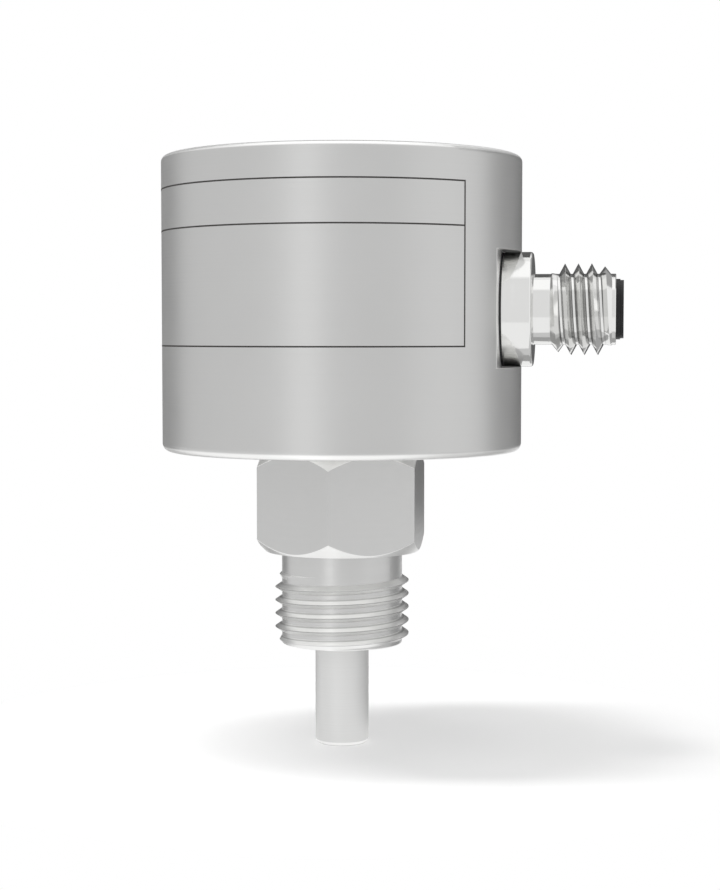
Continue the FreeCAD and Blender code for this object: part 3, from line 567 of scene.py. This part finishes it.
def moulded(name, colour, rough, grain=0.12, depth=0.006, **constants):
    """Moulded plastic with the fine spark-eroded grain of its tool."""
    roughs = (rough - 0.07, rough + 0.07)
    return grained(name, colour, grain, (0.85, 1.15), roughs, depth, strength=0.35, cloud=4.0, **constants)


dress(moulded("white_wire_cover", (0.75, 0.74, 0.70), 0.45), "sensor_leads")

# Plug shell: turned brass, bright nickel plated, its flange bedded in the flat and drawn up by a nut.
# The barrel has a coarse right-hand V thread for the cable's coupling nut.
# A thin black rubber ring fills the groove round the flange's foot and darkens the seam there.
plug_axis = (0, 0, plug_height)
nickel_tone = (0.81, 0.81, 0.80)
nickel = turned_metal(
    "bright_nickel", nickel_tone, 0.10, axis="X", centre=plug_axis, ring=0.35, grain=0.05
)
barrel, plug_crest = 4.65, 6.0
plug_pitch, plug_first_crest = 1.75, 29.71
plug_thread_start, plug_thread_end = 27.9, 35.9
plug_phase = plug_first_crest - plug_pitch / 2
plug_end, plug_bore, mouth_cut = 36.4, 4.0, 0.1
carrier_stop, tail_bore = 20.4, 3.4
inner_end, inner_spigot, inner_cut = 13.8, 5.0, 0.2
flange, flange_front, seat = 7.55, 25.6, 21.5
flange_round, flange_chamfer, flange_fillet = 0.35, 0.3, 0.12
ring_inner, ring_outer, ring_bed = 5.3, 6.5, 22.65
lip_inset = 0.04
plug_v = ((0.0, 0.0), (0.16, 0.0), (0.565, 0.98), (0.575, 1.0), (0.585, 1.0), (0.595, 0.98))
fine_around = even_turn(160)
plug_lead_in, plug_runout = 0.3, 0.5
plug_span = (plug_thread_start + plug_lead_in, plug_thread_end - plug_runout)
# Painted shade: dark lines at the plug thread's root corners.
root_corners = ((0.965, 0.03), (0.215, 0.045))
paint_thread_shade(
    nickel, plug_pitch, plug_phase, plug_v, plug_span, root_corners, tone=0.42, axis="X", centre=plug_axis
)


def along_plug(faces):
    """Lay faces that were turned about an upright axis along the plug's axis."""
    return [[(z, y, plug_height - x) for x, y, z in face] for face in faces]


def rounded_corner(radius, height, size, steps=5):
    """Points of a rounded outer corner at the front of a flange, from its rim to its face."""
    turns = [math.pi / 2 * step / steps for step in range(steps + 1)]
    return [(radius - size + size * math.cos(a), height - size + size * math.sin(a)) for a in turns]


shell_faces = thread(
    barrel, plug_crest, plug_pitch, plug_phase, plug_thread_start, plug_thread_end, plug_v, fine_around
)
shell_faces += revolve([
    (barrel, plug_thread_end),
    (barrel, plug_end - mouth_cut),
    (barrel - mouth_cut, plug_end),
    (plug_bore + mouth_cut, plug_end),
    (plug_bore, plug_end - mouth_cut),
    (plug_bore, carrier_stop),
    (tail_bore, carrier_stop),
    (tail_bore, inner_end),
    (inner_spigot - inner_cut, inner_end),
    (inner_spigot, inner_end + inner_cut),
    (inner_spigot, seat),
    (ring_inner, seat),
    (ring_inner, ring_bed),
    (ring_outer, ring_bed),
    (ring_outer, seat),
    (flange - flange_chamfer, seat),
    (flange, seat + flange_chamfer),
    *rounded_corner(flange, flange_front, flange_round),
    (barrel + flange_fillet, flange_front),
    (barrel, flange_front + flange_fillet),
    (barrel, plug_thread_start),
], fine_around)
shell_faces = along_plug(shell_faces)
shell = skin("plug_shell_with_thread", shell_faces, "housing", nickel, sharp=25)
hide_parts("connector_shell")
dress(nickel, "connector_nut")
lip_faces = revolve([
    (flange - flange_chamfer, seat),
    (flange - lip_inset, seat),
    (flange - lip_inset, seat + flange_chamfer - lip_inset),
    (flange - flange_chamfer, seat),
], fine_around)
skin("flange_foot_dark_ring", along_plug(lip_faces), "housing", rubber)

# Pin carrier: glass-filled black plastic, snapped into the shell with its stepped rim standing proud.
# Its four pins are turned brass, gold plated, with tails that the leads are soldered to.
carrier_black = moulded(
    "black_carrier_plastic", (0.010, 0.010, 0.011), 0.42, grain=0.25, depth=0.01, Specular_IOR_Level=0.3
)
dress(carrier_black, "connector_pin_carrier")
gold = turned_metal(
    "gold_plated_pin", (0.83, 0.62, 0.26), 0.22, axis="X", centre=plug_axis, ring=0.2, grain=0.1
)
dress(gold, "connector_pins", "link_pins")
lead_brown, lead_blue = (0.16, 0.07, 0.03), (0.03, 0.10, 0.32)
lead_cover = moulded("lead_cover", lead_brown, 0.42)
far_pair = reckon(lead_cover, "GREATER_THAN", coordinates(lead_cover)["Y"], 0.0)
tint(lead_cover, far_pair, lead_brown, lead_blue)
dress(lead_cover, "connector_leads")

# Lower board on three plated spacers, with relay, capacitor, regulator and the pins up to the other board.
# The boards are glass epoxy under green lacquer.
plated_brass = turned_metal("plated_spacer", (0.74, 0.73, 0.70), 0.25, ring=0.4, grain=0.2)
dress(plated_brass, "lower_spacers", "upper_spacers")
lacquer = grained(
    "green_board_lacquer", (0.012, 0.105, 0.035), grain=0.5, tones=(0.85, 1.25), rough=(0.30, 0.42),
    depth=0.008, strength=0.4, detail=3, cloud=6.0, Coat_Weight=0.3, Coat_Roughness=0.2,
)
dress(lacquer, "power_board", "display_board")
dress(moulded("clear_relay_case", (0.62, 0.66, 0.68), 0.25, Transmission_Weight=0.6), "relay_case")
dress(carrier_black, "relay_base", "link_strip", "voltage_regulator")
dress(turned_metal("relay_iron", (0.50, 0.50, 0.51), 0.35), "relay_frame", "relay_armature")
coil_axis = (-5.5, -2.6, 0)
copper_wire = turned_metal(
    "copper_winding", (0.72, 0.33, 0.16), 0.35, centre=coil_axis, ring=0.15, grain=0.8
)
dress(copper_wire, "relay_coil")
dress(gold, "relay_contacts")
dress(moulded("capacitor_sleeve", (0.03, 0.035, 0.05), 0.3), "supply_capacitor")
dress(zinc, "lead_terminals")

# Upper board's lamp and set-point trimmer, soldered on under the cover's window.
# The lamp is a tinted clear moulding, the trimmer a blue box with a slotted brass rotor and printed ticks.
dress(moulded("green_lamp", (0.10, 0.55, 0.16), 0.12, Transmission_Weight=0.5), "status_led")
dress(moulded("blue_trimmer_plastic", (0.03, 0.12, 0.36), 0.35), "trimmer_body")
trimmer_y, trimmer_top = -10.5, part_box("trimmer_body")[1][2] / mm
rotor_brass = turned_metal("rotor_brass", (0.74, 0.57, 0.25), 0.28, centre=(0, trimmer_y, 0), grain=0.3)
dress(rotor_brass, "trimmer_rotor")
tick_count, tick_start, tick_sweep = 11, -45, 270
tick_inner, tick_outer, tick_width = 2.50, 2.95, 0.16
tick_sunk, print_thickness = 0.05, 0.03


def flat_face(*loops):
    """A flat face inside the first loop and outside the others, in triangles."""
    points = [point for loop in loops for point in loop]
    return [[points[corner] for corner in triangle] for triangle in tessellate_polygon(loops)]


def slab(outline, low, high):
    """A closed flat piece with this outline of (x, y) points."""
    under = [(x, y, low) for x, y in outline]
    over = [(x, y, high) for x, y in outline]
    return loft([under, over]) + flat_face(under) + flat_face(over)


def turned_outline(outline, angle, x=0.0, y=0.0):
    """Turn an outline about the origin, then move it."""
    c, s = math.cos(angle), math.sin(angle)
    return [(x + px * c - py * s, y + px * s + py * c) for px, py in outline]


def oblong(x_low, x_high, y_low, y_high):
    """The corners of an upright oblong."""
    return [(x_low, y_low), (x_high, y_low), (x_high, y_high), (x_low, y_high)]


tick_faces = []
tick_outline = oblong(tick_inner, tick_outer, -tick_width / 2, tick_width / 2)
for tick in range(tick_count):
    heading = math.radians(tick_start + tick_sweep * tick / (tick_count - 1))
    mark = turned_outline(tick_outline, heading, 0, trimmer_y)
    tick_faces += slab(mark, trimmer_top - tick_sunk, trimmer_top + print_thickness)
white_print = moulded("white_print", (0.78, 0.78, 0.74), 0.5)
skin("trimmer_ticks", tick_faces, "housing", white_print)

# Controller: a flat black package with a row of gull-wing legs on each side, soldered to the upper board.
# The legs are tinned copper strip; a small round dimple marks its first leg.
board_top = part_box("display_board")[1][2] / mm
controller_x, controller_y = -7.0, 5.5
package_half, package_taper, package_cut, foot_cut = 2.75, 0.12, 0.2, 0.15
package_low, package_middle, package_top = (board_top + rise for rise in (0.1, 0.65, 1.2))
dimple_offset, dimple_rim, dimple_floor, dimple_depth = 1.9, 0.38, 0.32, 0.07
legs_per_side, leg_pitch, leg_width = 8, 0.6, 0.26
leg_outline = [
    (2.6, 0.60), (2.95, 0.60), (3.12, 0.03), (3.5, 0.03),
    (3.5, 0.15), (3.22, 0.15), (3.04, 0.72), (2.6, 0.72),
]


def cut_loop(half_x, half_y, cut, level, x=0.0, y=0.0):
    """An oblong with its corners cut, at a level."""
    near_x, near_y = half_x - cut, half_y - cut
    corners = [
        (half_x, -near_y), (half_x, near_y), (near_x, half_y), (-near_x, half_y),
        (-half_x, near_y), (-half_x, -near_y), (-near_x, -half_y), (near_x, -half_y),
    ]
    return [(x + px, y + py, level) for px, py in corners]


def square_loop(half, *rest):
    """The same with equal sides."""
    return cut_loop(half, half, *rest)


def circle_loop(radius, level, x=0.0, y=0.0, steps=24):
    """Points of a level circle."""
    return [(x + radius * math.cos(a), y + radius * math.sin(a), level) for a in even_turn(steps)]


def leg_faces(side, along):
    """One gull-wing leg: its outline swept over its width, then turned to its side of the package."""
    heading = math.pi / 2 * side
    edges = []
    for edge in (along - leg_width / 2, along + leg_width / 2):
        line = [(reach, edge) for reach, rise in leg_outline]
        spots = turned_outline(line, heading, controller_x, controller_y)
        edges.append([(x, y, board_top + rise) for (x, y), (reach, rise) in zip(spots, leg_outline)])
    return loft(edges) + edges


dimple = (controller_x - dimple_offset, controller_y + dimple_offset)
package_rings = [
    square_loop(package_half - package_taper, foot_cut, package_low, controller_x, controller_y),
    square_loop(package_half, package_cut, package_middle, controller_x, controller_y),
    square_loop(package_half - package_taper, package_cut, package_top, controller_x, controller_y),
]
dimple_rings = [
    circle_loop(dimple_rim, package_top, *dimple),
    circle_loop(dimple_floor, package_top - dimple_depth, *dimple),
]
package_faces = loft(package_rings) + [package_rings[0]] + flat_face(package_rings[-1], dimple_rings[0])
package_faces += loft(dimple_rings) + [dimple_rings[-1]]
package = skin("controller_package", package_faces, "housing", carrier_black)
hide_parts("microcontroller")
strip_legs = []
for side in range(4):
    for leg in range(legs_per_side):
        strip_legs += leg_faces(side, (leg - (legs_per_side - 1) / 2) * leg_pitch)
tin = turned_metal("tinned_copper", (0.74, 0.74, 0.72), 0.30, ring=0.5, grain=0.15)
skin("controller_legs", strip_legs, "housing", tin)

# Chips: small ceramic blocks with tinned end caps, five in a row, each soldered down on two pads.
# The board also carries printed outlines round its parts.
chip_x, chip_pitch, chip_count = 9.0, 2.4, 5
chip_half, chip_span, chip_cut = (0.55, 0.38), (0.03, 0.56), 0.03
cap_reach, cap_half, cap_span, cap_cut = 0.64, (0.16, 0.40), (-0.02, 0.60), 0.04
pad_reach, pad_half, pad_span, pad_cut = 0.78, (0.30, 0.46), (-0.02, 0.05), 0.02


def block(x, y, half, span, cut):
    """A closed block on the board with its upright corners and its top edges cut."""
    low, high = board_top + span[0], board_top + span[1]
    rings = [
        cut_loop(half[0] - inset, half[1] - inset, cut, level, x, y)
        for level, inset in ((low, 0.0), (high - cut, 0.0), (high, cut))
    ]
    return loft(rings) + [rings[0], rings[-1]]


chip_faces, cap_faces, print_faces = [], [], []
for chip in range(chip_count):
    chip_y = (chip - (chip_count - 1) / 2) * chip_pitch
    chip_faces += block(chip_x, chip_y, chip_half, chip_span, chip_cut)
    for end in (-1, 1):
        cap_faces += block(chip_x + cap_reach * end, chip_y, cap_half, cap_span, cap_cut)
        cap_faces += block(chip_x + pad_reach * end, chip_y, pad_half, pad_span, pad_cut)
chip_ceramic = moulded("chip_ceramic", (0.30, 0.22, 0.14), 0.5)
chips = skin("chip_blocks", chip_faces, "housing", chip_ceramic)
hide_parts("surface_mount_parts")
skin("chip_end_caps", cap_faces, "housing", tin)


def printed_border(outer, inner):
    """A closed thin border on the board between two loops of as many points."""
    lifted = [[(x, y, level + print_thickness) for x, y, level in loop] for loop in (outer, inner)]
    return loft([outer, inner, lifted[1], lifted[0], outer])


marks_level = board_top - 0.005
border_width, outer_cut, border_cut = 0.15, 0.3, 0.25
controller_border, trimmer_border, lamp_border = 3.85, 3.60, 2.40
for half, *spot in ((controller_border, controller_x, controller_y), (trimmer_border, 0, trimmer_y)):
    print_faces += printed_border(
        square_loop(half, outer_cut, marks_level, *spot),
        square_loop(half - border_width, border_cut, marks_level, *spot),
    )
print_faces += printed_border(
    circle_loop(lamp_border, marks_level),
    circle_loop(lamp_border - border_width, marks_level),
)
skin("board_print", print_faces, "housing", white_print)

# Copper runs of the upper board: etched foil under the lacquer, a little raised and paler than the board.
# They join the controller to the lamp, trimmer and chips, and to the four soldered ends of the link pins.
run_width, run_sunk, run_lift = 0.24, 0.01, 0.025
runs = (
    ((-3.4, 3.4), (-2.6, 3.4), (-1.5, 2.3), (-1.5, 1.4)),
    ((-3.4, 7.0), (-2.0, 7.0), (0.2, 4.8), (7.9, 4.8)),
    ((-3.4, 6.4), (-2.4, 6.4), (1.6, 2.4), (7.9, 2.4)),
    ((-3.4, 5.8), (-2.3, 5.8), (3.5, 0.0), (7.9, 0.0)),
    ((7.9, -2.4), (4.5, -2.4), (2.2, -4.7), (2.2, -7.4)),
    ((7.9, -4.8), (5.6, -4.8), (3.9, -6.5), (3.9, -9.0), (3.2, -9.0)),
    ((-2.2, -7.4), (-2.2, -4.0), (-4.9, -1.3), (-4.9, 1.9)),
    ((-3.2, -9.0), (-4.0, -9.0), (-4.0, -4.0), (-5.5, -2.5), (-5.5, 1.9)),
    ((-10.6, 3.4), (-11.8, 3.4), (-13.2, 2.0)),
    ((-10.6, 7.6), (-12.4, 7.6), (-14.6, 5.4), (-14.6, 2.2)),
    ((-4.9, 9.1), (-4.9, 10.35), (-2.25, 13.0)),
    ((-5.5, 9.1), (-5.5, 10.9), (-1.9, 14.5), (-1.2, 14.5), (-0.75, 14.05), (-0.75, 13.0)),
    ((0.75, 13.0), (0.75, 11.5), (3.0, 9.25), (9.0, 9.25), (11.2, 7.05), (11.2, -4.8), (10.1, -4.8)),
    ((2.25, 13.0), (5.2, 13.0)),
    ((11.2, -2.4), (10.1, -2.4)),
    ((11.2, 0.0), (10.1, 0.0)),
    ((11.2, 2.4), (10.1, 2.4)),
    ((11.2, 4.8), (10.1, 4.8)),
)


def run_outline(stops, width):
    """The outline of a flat run with mitred bends."""
    stops = [Vector(stop) for stop in stops]
    left, right = [], []
    for index, stop in enumerate(stops):
        before = (stop - stops[index - 1]).normalized() if index else None
        after = (stops[index + 1] - stop).normalized() if index + 1 < len(stops) else None
        along = ((before or after) + (after or before)).normalized()
        across = Vector((-along.y, along.x))
        straight = after or before
        reach = width / 2 / max(0.5, across.dot(Vector((-straight.y, straight.x))))
        left.append(tuple(stop + across * reach))
        right.append(tuple(stop - across * reach))
    return left + right[::-1]


run_faces = []
for stops in runs:
    run_faces += slab(run_outline(stops, run_width), board_top - run_sunk, board_top + run_lift)
run_green = (0.035, 0.20, 0.075)
run_lacquer = moulded(
    "lacquered_copper_run", run_green, 0.32, grain=0.5, Coat_Weight=0.3, Coat_Roughness=0.2
)
skin("board_runs", run_faces, "housing", run_lacquer)
link_count, link_pitch, link_y = 4, 1.5, 13.0
solder_outline = [
    (0.0, -0.02), (0.62, -0.02), (0.60, 0.04), (0.42, 0.16), (0.30, 0.32), (0.18, 0.44), (0.0, 0.48),
]
solder_dome = revolve(solder_outline, even_turn(24))
solder_faces = []
for pin in range(link_count):
    pin_x = (pin - (link_count - 1) / 2) * link_pitch
    solder_faces += [[(x + pin_x, y + link_y, z + board_top) for x, y, z in face] for face in solder_dome]
skin("link_solder", solder_faces, "housing", tin)

# Board screws: three pan heads with a cross recess, zinc plated, that hold the upper board on its spacers.
# The recess is pressed in with a tapered punch.
screw_circle = 14.5
screw_angles = (60, 180, 300)
screw_turns = (18, 71, 44)
screw_profile = [
    (0.0, -4.2), (1.0, -4.2), (1.2, -4.0), (1.2, 0.0), (2.15, 0.0), (2.25, 0.1),
    (2.25, 0.75), (2.21, 1.05), (2.09, 1.32), (1.89, 1.56), (1.62, 1.72), (1.30, 1.8),
]
recess_mouth, recess_floor, recess_depth = (0.98, 0.24), (0.45, 0.17), 0.9
screw_around = even_turn(40)


def cross_loop(reach, half, level):
    """The outline of a cross."""
    arm = [(reach, -half), (reach, half), (half, half)]
    points = [spot for quarter in range(4) for spot in turned_outline(arm, math.pi / 2 * quarter)]
    return [(x, y, level) for x, y in points]


def screw_faces(x, y, turn):
    """One screw, turned as far as it happened to be tightened."""
    crown = screw_profile[-1]
    mouth = cross_loop(*recess_mouth, crown[1])
    punched = cross_loop(*recess_floor, crown[1] - recess_depth)
    faces = revolve(screw_profile, screw_around)
    faces += flat_face(ring(*crown, screw_around), mouth)
    faces += loft([mouth, punched]) + flat_face(punched)
    placed = []
    for face in faces:
        spots = turned_outline([point[:2] for point in face], turn, x, y)
        placed.append([(*spot, board_top + point[2]) for spot, point in zip(spots, face)])
    return placed


all_screws = []
for angle, turned in zip(screw_angles, screw_turns):
    spot = polar(screw_circle, 0, math.radians(angle))
    all_screws += screw_faces(*spot[:2], math.radians(turned))
screws = skin("cross_head_screws", all_screws, "housing", zinc)
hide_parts("board_screws")

# Cover: a turned steel disc with a threaded skirt that screws into the drum, flush with its rim.
# Two blind holes take a pin spanner, and the drum's mouth is tapped to match the skirt.
# The plastic slip washer clings to the underside of the rim, so it comes up and away with the cover.
cover_top, cover_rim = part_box("top_cover")[1][2] / mm, 21.5
cover_pitch = 1.5
cover_phase = cover_top - 6.4
cover_v = ((0.0, 0.0), (0.15, 0.0), (0.52, 0.95), (0.55, 1.0), (0.60, 1.0), (0.63, 0.95))
skirt_root, skirt_crest = 19.2, 19.9
skirt_thread = (cover_top - 7.4, cover_top - 4.95)
mouth_root, mouth_crest = 19.98, 19.45
mouth_thread = (cover_top - 8.4, cover_top - 4.9)
skirt_bore, skirt_end, skirt_cut, bore_cut = 17.5, 7.6, 0.2, 0.1
rim_cut, rim_depth, collar_end = 0.3, 2.0, 4.7
groove_floor, groove_high, groove_low, groove_cut = 18.6, 3.05, 4.45, 0.05
mouth_wall = 20.3
window_ledge, window_hole, ledge_depth, disc_depth = 4.53, 3.03, 1.6, 2.6
spanner_reach, spanner_hole, spanner_depth, spanner_point = 14.0, 1.6, 1.3, 2.2
edge_cut = 0.15
cover_faces = thread(skirt_root, skirt_crest, cover_pitch, cover_phase, *skirt_thread, cover_v, fine_around)
cover_faces += revolve([
    (cover_rim - rim_cut, cover_top),
    (cover_rim, cover_top - rim_cut),
    (cover_rim, cover_top - rim_depth),
    (skirt_crest, cover_top - rim_depth),
    (skirt_crest, cover_top - groove_high),
    (groove_floor, cover_top - groove_high),
    (groove_floor, cover_top - groove_low),
    (skirt_crest - groove_cut, cover_top - groove_low),
    (skirt_crest, cover_top - groove_low - groove_cut),
    (skirt_crest, cover_top - collar_end),
    (skirt_root, skirt_thread[1]),
], fine_around)
cover_faces += revolve([
    (skirt_root, skirt_thread[0]),
    (skirt_root - skirt_cut, cover_top - skirt_end),
    (skirt_bore + bore_cut, cover_top - skirt_end),
    (skirt_bore, cover_top - skirt_end + bore_cut),
    (skirt_bore, cover_top - disc_depth),
    (window_hole, cover_top - disc_depth),
    (window_hole, cover_top - ledge_depth),
    (window_ledge, cover_top - ledge_depth),
    (window_ledge, cover_top - edge_cut),
    (window_ledge + edge_cut, cover_top),
], fine_around)
hole_outline = (
    (spanner_hole + edge_cut, 0.0),
    (spanner_hole, edge_cut),
    (spanner_hole, spanner_depth),
    (0.0, spanner_point),
)
hole_mouths = []
for side in (-1, 1):
    spot = (spanner_reach * side, 0.0)
    hole_rings = [circle_loop(size, cover_top - depth, *spot, steps=40) for size, depth in hole_outline]
    cover_faces += loft(hole_rings)
    hole_mouths.append(hole_rings[0])
cover_faces += flat_face(
    ring(cover_rim - rim_cut, cover_top, fine_around),
    ring(window_ledge + edge_cut, cover_top, fine_around),
    *hole_mouths,
)
cover = skin("cover_with_thread", cover_faces, "cover", satin_steel, sharp=25)
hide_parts("top_cover")
mouth_faces = thread(
    mouth_root, mouth_crest, cover_pitch, cover_phase + cover_pitch / 2, *mouth_thread, cover_v, fine_around
)
mouth_faces += revolve([
    (mouth_root, mouth_thread[1]),
    (mouth_wall, mouth_thread[1]),
    (mouth_wall, mouth_thread[0]),
    (mouth_root, mouth_thread[0]),
], fine_around)
skin("drum_mouth_thread", mouth_faces, "housing", satin_steel, sharp=25)
slip_white = moulded("white_slip_plastic", (0.78, 0.78, 0.75), 0.4)
washer_bore, washer_play = 20.03, 0.03
washer_low, washer_high = (corner[2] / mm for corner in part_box("cover_slip_washer"))
washer_faces = revolve([
    (washer_bore, washer_low),
    (cover_rim, washer_low),
    (cover_rim, washer_high - washer_play),
    (washer_bore, washer_high - washer_play),
    (washer_bore, washer_low),
], fine_around)
washer = skin("slip_washer", washer_faces, "cover_seal", slip_white)
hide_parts("cover_slip_washer")
dress(moulded("clear_window", (0.86, 0.90, 0.88), 0.08, Transmission_Weight=0.9), "status_lens")

# Studio: a pale floor under the probe's tip, a white surround, and soft lamps overhead and on the left.
# Boards that only the metal mirrors stand round the part: grey in front, one bright strip, dark behind.
# A small dim one on the floor to the right is a painted shadow, mirrored where the part's shadow falls.
floor_level = cad_box[0][2] - 0.00005
floor_reach = 2.0
card_foot, card_step = 0.15, 0.002
white = (1, 1, 1, 1)


def glow(material, strength):
    """A shader that gives off white light."""
    return shader_node(material, "ShaderNodeEmission", {"Color": white, "Strength": strength}).outputs[0]


def card(name, corners, faces, strength, crown=None):
    """A board that only the metal sees; one with a crown grows paler from its foot to its top edge."""
    mesh = bpy.data.meshes.new(name)
    mesh.from_pydata(corners, [], faces)
    board = put(name, mesh)
    material = bpy.data.materials.new(name)
    material.use_nodes = True
    material.node_tree.nodes.clear()
    if crown:
        top = max(corner[2] for corner in corners)
        strength = remap(material, coordinates(material)["Z"], card_foot, top, strength, crown)
    shader_node(material, "ShaderNodeOutputMaterial", {"Surface": glow(material, strength)})
    mesh.materials.append(material)
    board.visible_camera = False
    board.visible_diffuse = False
    board.visible_shadow = False


def bent_card(name, azimuth, distance, width, height, strength, inner, crown=None):
    """A card that stands facing the part, at an angle from the front to the right.

    It runs in along the floor to an inner distance; a nearer card lies on top of a farther one.
    """
    turn = math.radians(azimuth)
    out = Vector((math.sin(turn), -math.cos(turn), 0)) * distance
    side = Vector((math.cos(turn), math.sin(turn), 0)) * width / 2
    lift = Vector((0, 0, floor_level + card_step * (1 - distance)))
    top = Vector((0, 0, height))
    tip = inner / distance
    corners = [
        (out - side) * tip + lift,
        (out + side) * tip + lift,
        out + side + lift,
        out - side + lift,
        out + side + top,
        out - side + top,
    ]
    card(name, corners, [(0, 1, 2, 3), (3, 2, 4, 5)], strength, crown)


bent_card("grey_front_card", 8.5, distance=0.9, width=1.7, height=1.9, strength=0.86, inner=0.12)
bent_card("grey_left_card", -75, distance=0.7, width=1.2, height=0.9, strength=0.86, inner=0.20)
bent_card("bright_strip", -14, distance=0.8, width=0.20, height=1.0, strength=1.4, inner=0.01)
bent_card("dark_back_flag", 188, distance=0.5, width=2.0, height=0.45, strength=0.12, inner=0.25, crown=0.8)
bent_card("dark_back_mast", 188, distance=0.49, width=0.22, height=0.70, strength=0.12, inner=0.48)
bent_card("dim_right_flag", 130, distance=0.45, width=0.33, height=0.70, strength=0.40, inner=0.01)
bent_card("dim_left_flag", -132, distance=0.45, width=0.26, height=0.70, strength=0.36, inner=0.01)
# Painted shadow: the metal sees this card in place of the part's shadow on the floor.
bent_card("painted_shadow_card", 90, distance=0.090, width=0.075, height=-0.024, strength=0.66, inner=0.012)
top_height = 0.8
top_corners = [(x, y, top_height) for x, y in oblong(-0.5, 0.5, -0.32, 0.30)]
card("white_top_card", top_corners, [(0, 1, 2, 3)], 1.17)

floor_mesh = bpy.data.meshes.new("floor")
floor_corners = [(x, y, 0) for x, y in oblong(-floor_reach, floor_reach, -floor_reach, floor_reach)]
floor_mesh.from_pydata(floor_corners, [], [(0, 1, 2, 3)])
floor = put("floor", floor_mesh)
floor.location.z = floor_level


def either(material, factor, first, second):
    """The shader between two others."""
    return shader_node(material, "ShaderNodeMixShader", {0: factor, 1: first, 2: second}).outputs[0]


def mirrored(material, path):
    """Whether a ray comes by way of metal or clear plastic."""
    return reckon(material, "MAXIMUM", path["Is Glossy Ray"], path["Is Transmission Ray"])


tip_shadow, tip_clear, paper_glow = 0.0028, 0.0037, 0.33
shadow_edge, shadow_end = 0.040, 0.058
paper = bpy.data.materials.new("floor_paper")
paper.use_nodes = True
paper.node_tree.nodes.clear()
matt = shader_node(paper, "ShaderNodeBsdfDiffuse", {"Color": (0.8, 0.8, 0.8, 1)}).outputs[0]
inputs = {0: own_place(paper)}
reach = shader_node(paper, "ShaderNodeVectorMath", inputs, operation="LENGTH").outputs["Value"]
clear_of_tip = remap(paper, reach, tip_shadow, tip_clear, 0.0, paper_glow, interpolation_type="SMOOTHSTEP")
near = shader_node(paper, "ShaderNodeAddShader", {0: matt, 1: glow(paper, clear_of_tip)}).outputs[0]
far = glow(paper, 1.0)
fade = remap(paper, reach, shadow_edge, shadow_end, interpolation_type="SMOOTHSTEP")
path = shader_node(paper, "ShaderNodeLightPath").outputs
plain = either(paper, mirrored(paper, path), matt, far)
above = either(paper, path["Is Camera Ray"], plain, either(paper, fade, near, far))
below = shader_node(paper, "ShaderNodeBsdfTransparent").outputs[0]
from_below = shader_node(paper, "ShaderNodeNewGeometry").outputs["Backfacing"]
shader_node(paper, "ShaderNodeOutputMaterial", {"Surface": either(paper, from_below, above, below)})
floor_mesh.materials.append(paper)

surround_light = 0.45
world = bpy.data.worlds.new("white_surround")
bpy.context.scene.world = world
world.use_nodes = True
world.node_tree.nodes.clear()
dim = shader_node(world, "ShaderNodeBackground", {"Color": white, "Strength": surround_light}).outputs[0]
full = shader_node(world, "ShaderNodeBackground", {"Color": white, "Strength": 1.0}).outputs[0]
path = shader_node(world, "ShaderNodeLightPath").outputs
seen = reckon(world, "MAXIMUM", path["Is Camera Ray"], mirrored(world, path))
shader_node(world, "ShaderNodeOutputWorld", {"Surface": either(world, seen, dim, full)})


def soft_lamp(name, spot, aim, width, depth, power):
    """A soft box that points at a place."""
    lamp = bpy.data.lights.new(name, "AREA")
    lamp.shape = "RECTANGLE"
    lamp.size = width
    lamp.size_y = depth
    lamp.energy = power
    holder = put(name, lamp)
    holder.location = spot
    holder.rotation_euler = (Vector(aim) - Vector(spot)).to_track_quat("-Z", "Y").to_euler()
    holder.visible_glossy = False


soft_lamp("left_lamp", spot=(-0.26, -0.05, 0.75), aim=(0, 0, 0), width=0.10, depth=0.40, power=2.8)
soft_lamp("overhead_lamp", spot=(0.06, -0.05, 0.75), aim=(0, 0, 0), width=0.30, depth=0.40, power=0.9)

# Camera: level with the middle of the drum, a little to the right of the front, tipped slightly down.
# Its focal length is given in pixels of the photograph.
photo_height = 890
focal_pixels = 1891.0
camera_distance = 254.0
camera_azimuth = math.radians(8.5)
camera_height = 29.05
camera_tip = math.radians(3.36)
camera_swing = math.radians(0.547)
lens = bpy.data.cameras.new("photo_camera")
lens.sensor_fit = "VERTICAL"
lens.sensor_height = 36.0
lens.lens = lens.sensor_height * focal_pixels / photo_height
lens.clip_start = 0.01
camera = put("photo_camera", lens)
camera.location = (
    camera_distance * mm * math.sin(camera_azimuth),
    -camera_distance * mm * math.cos(camera_azimuth),
    camera_height * mm,
)
camera.rotation_euler = (math.pi / 2 - camera_tip, 0, camera_azimuth - camera_swing)
bpy.context.scene.camera = camera
bpy.context.scene.view_settings.view_transform = "Standard"
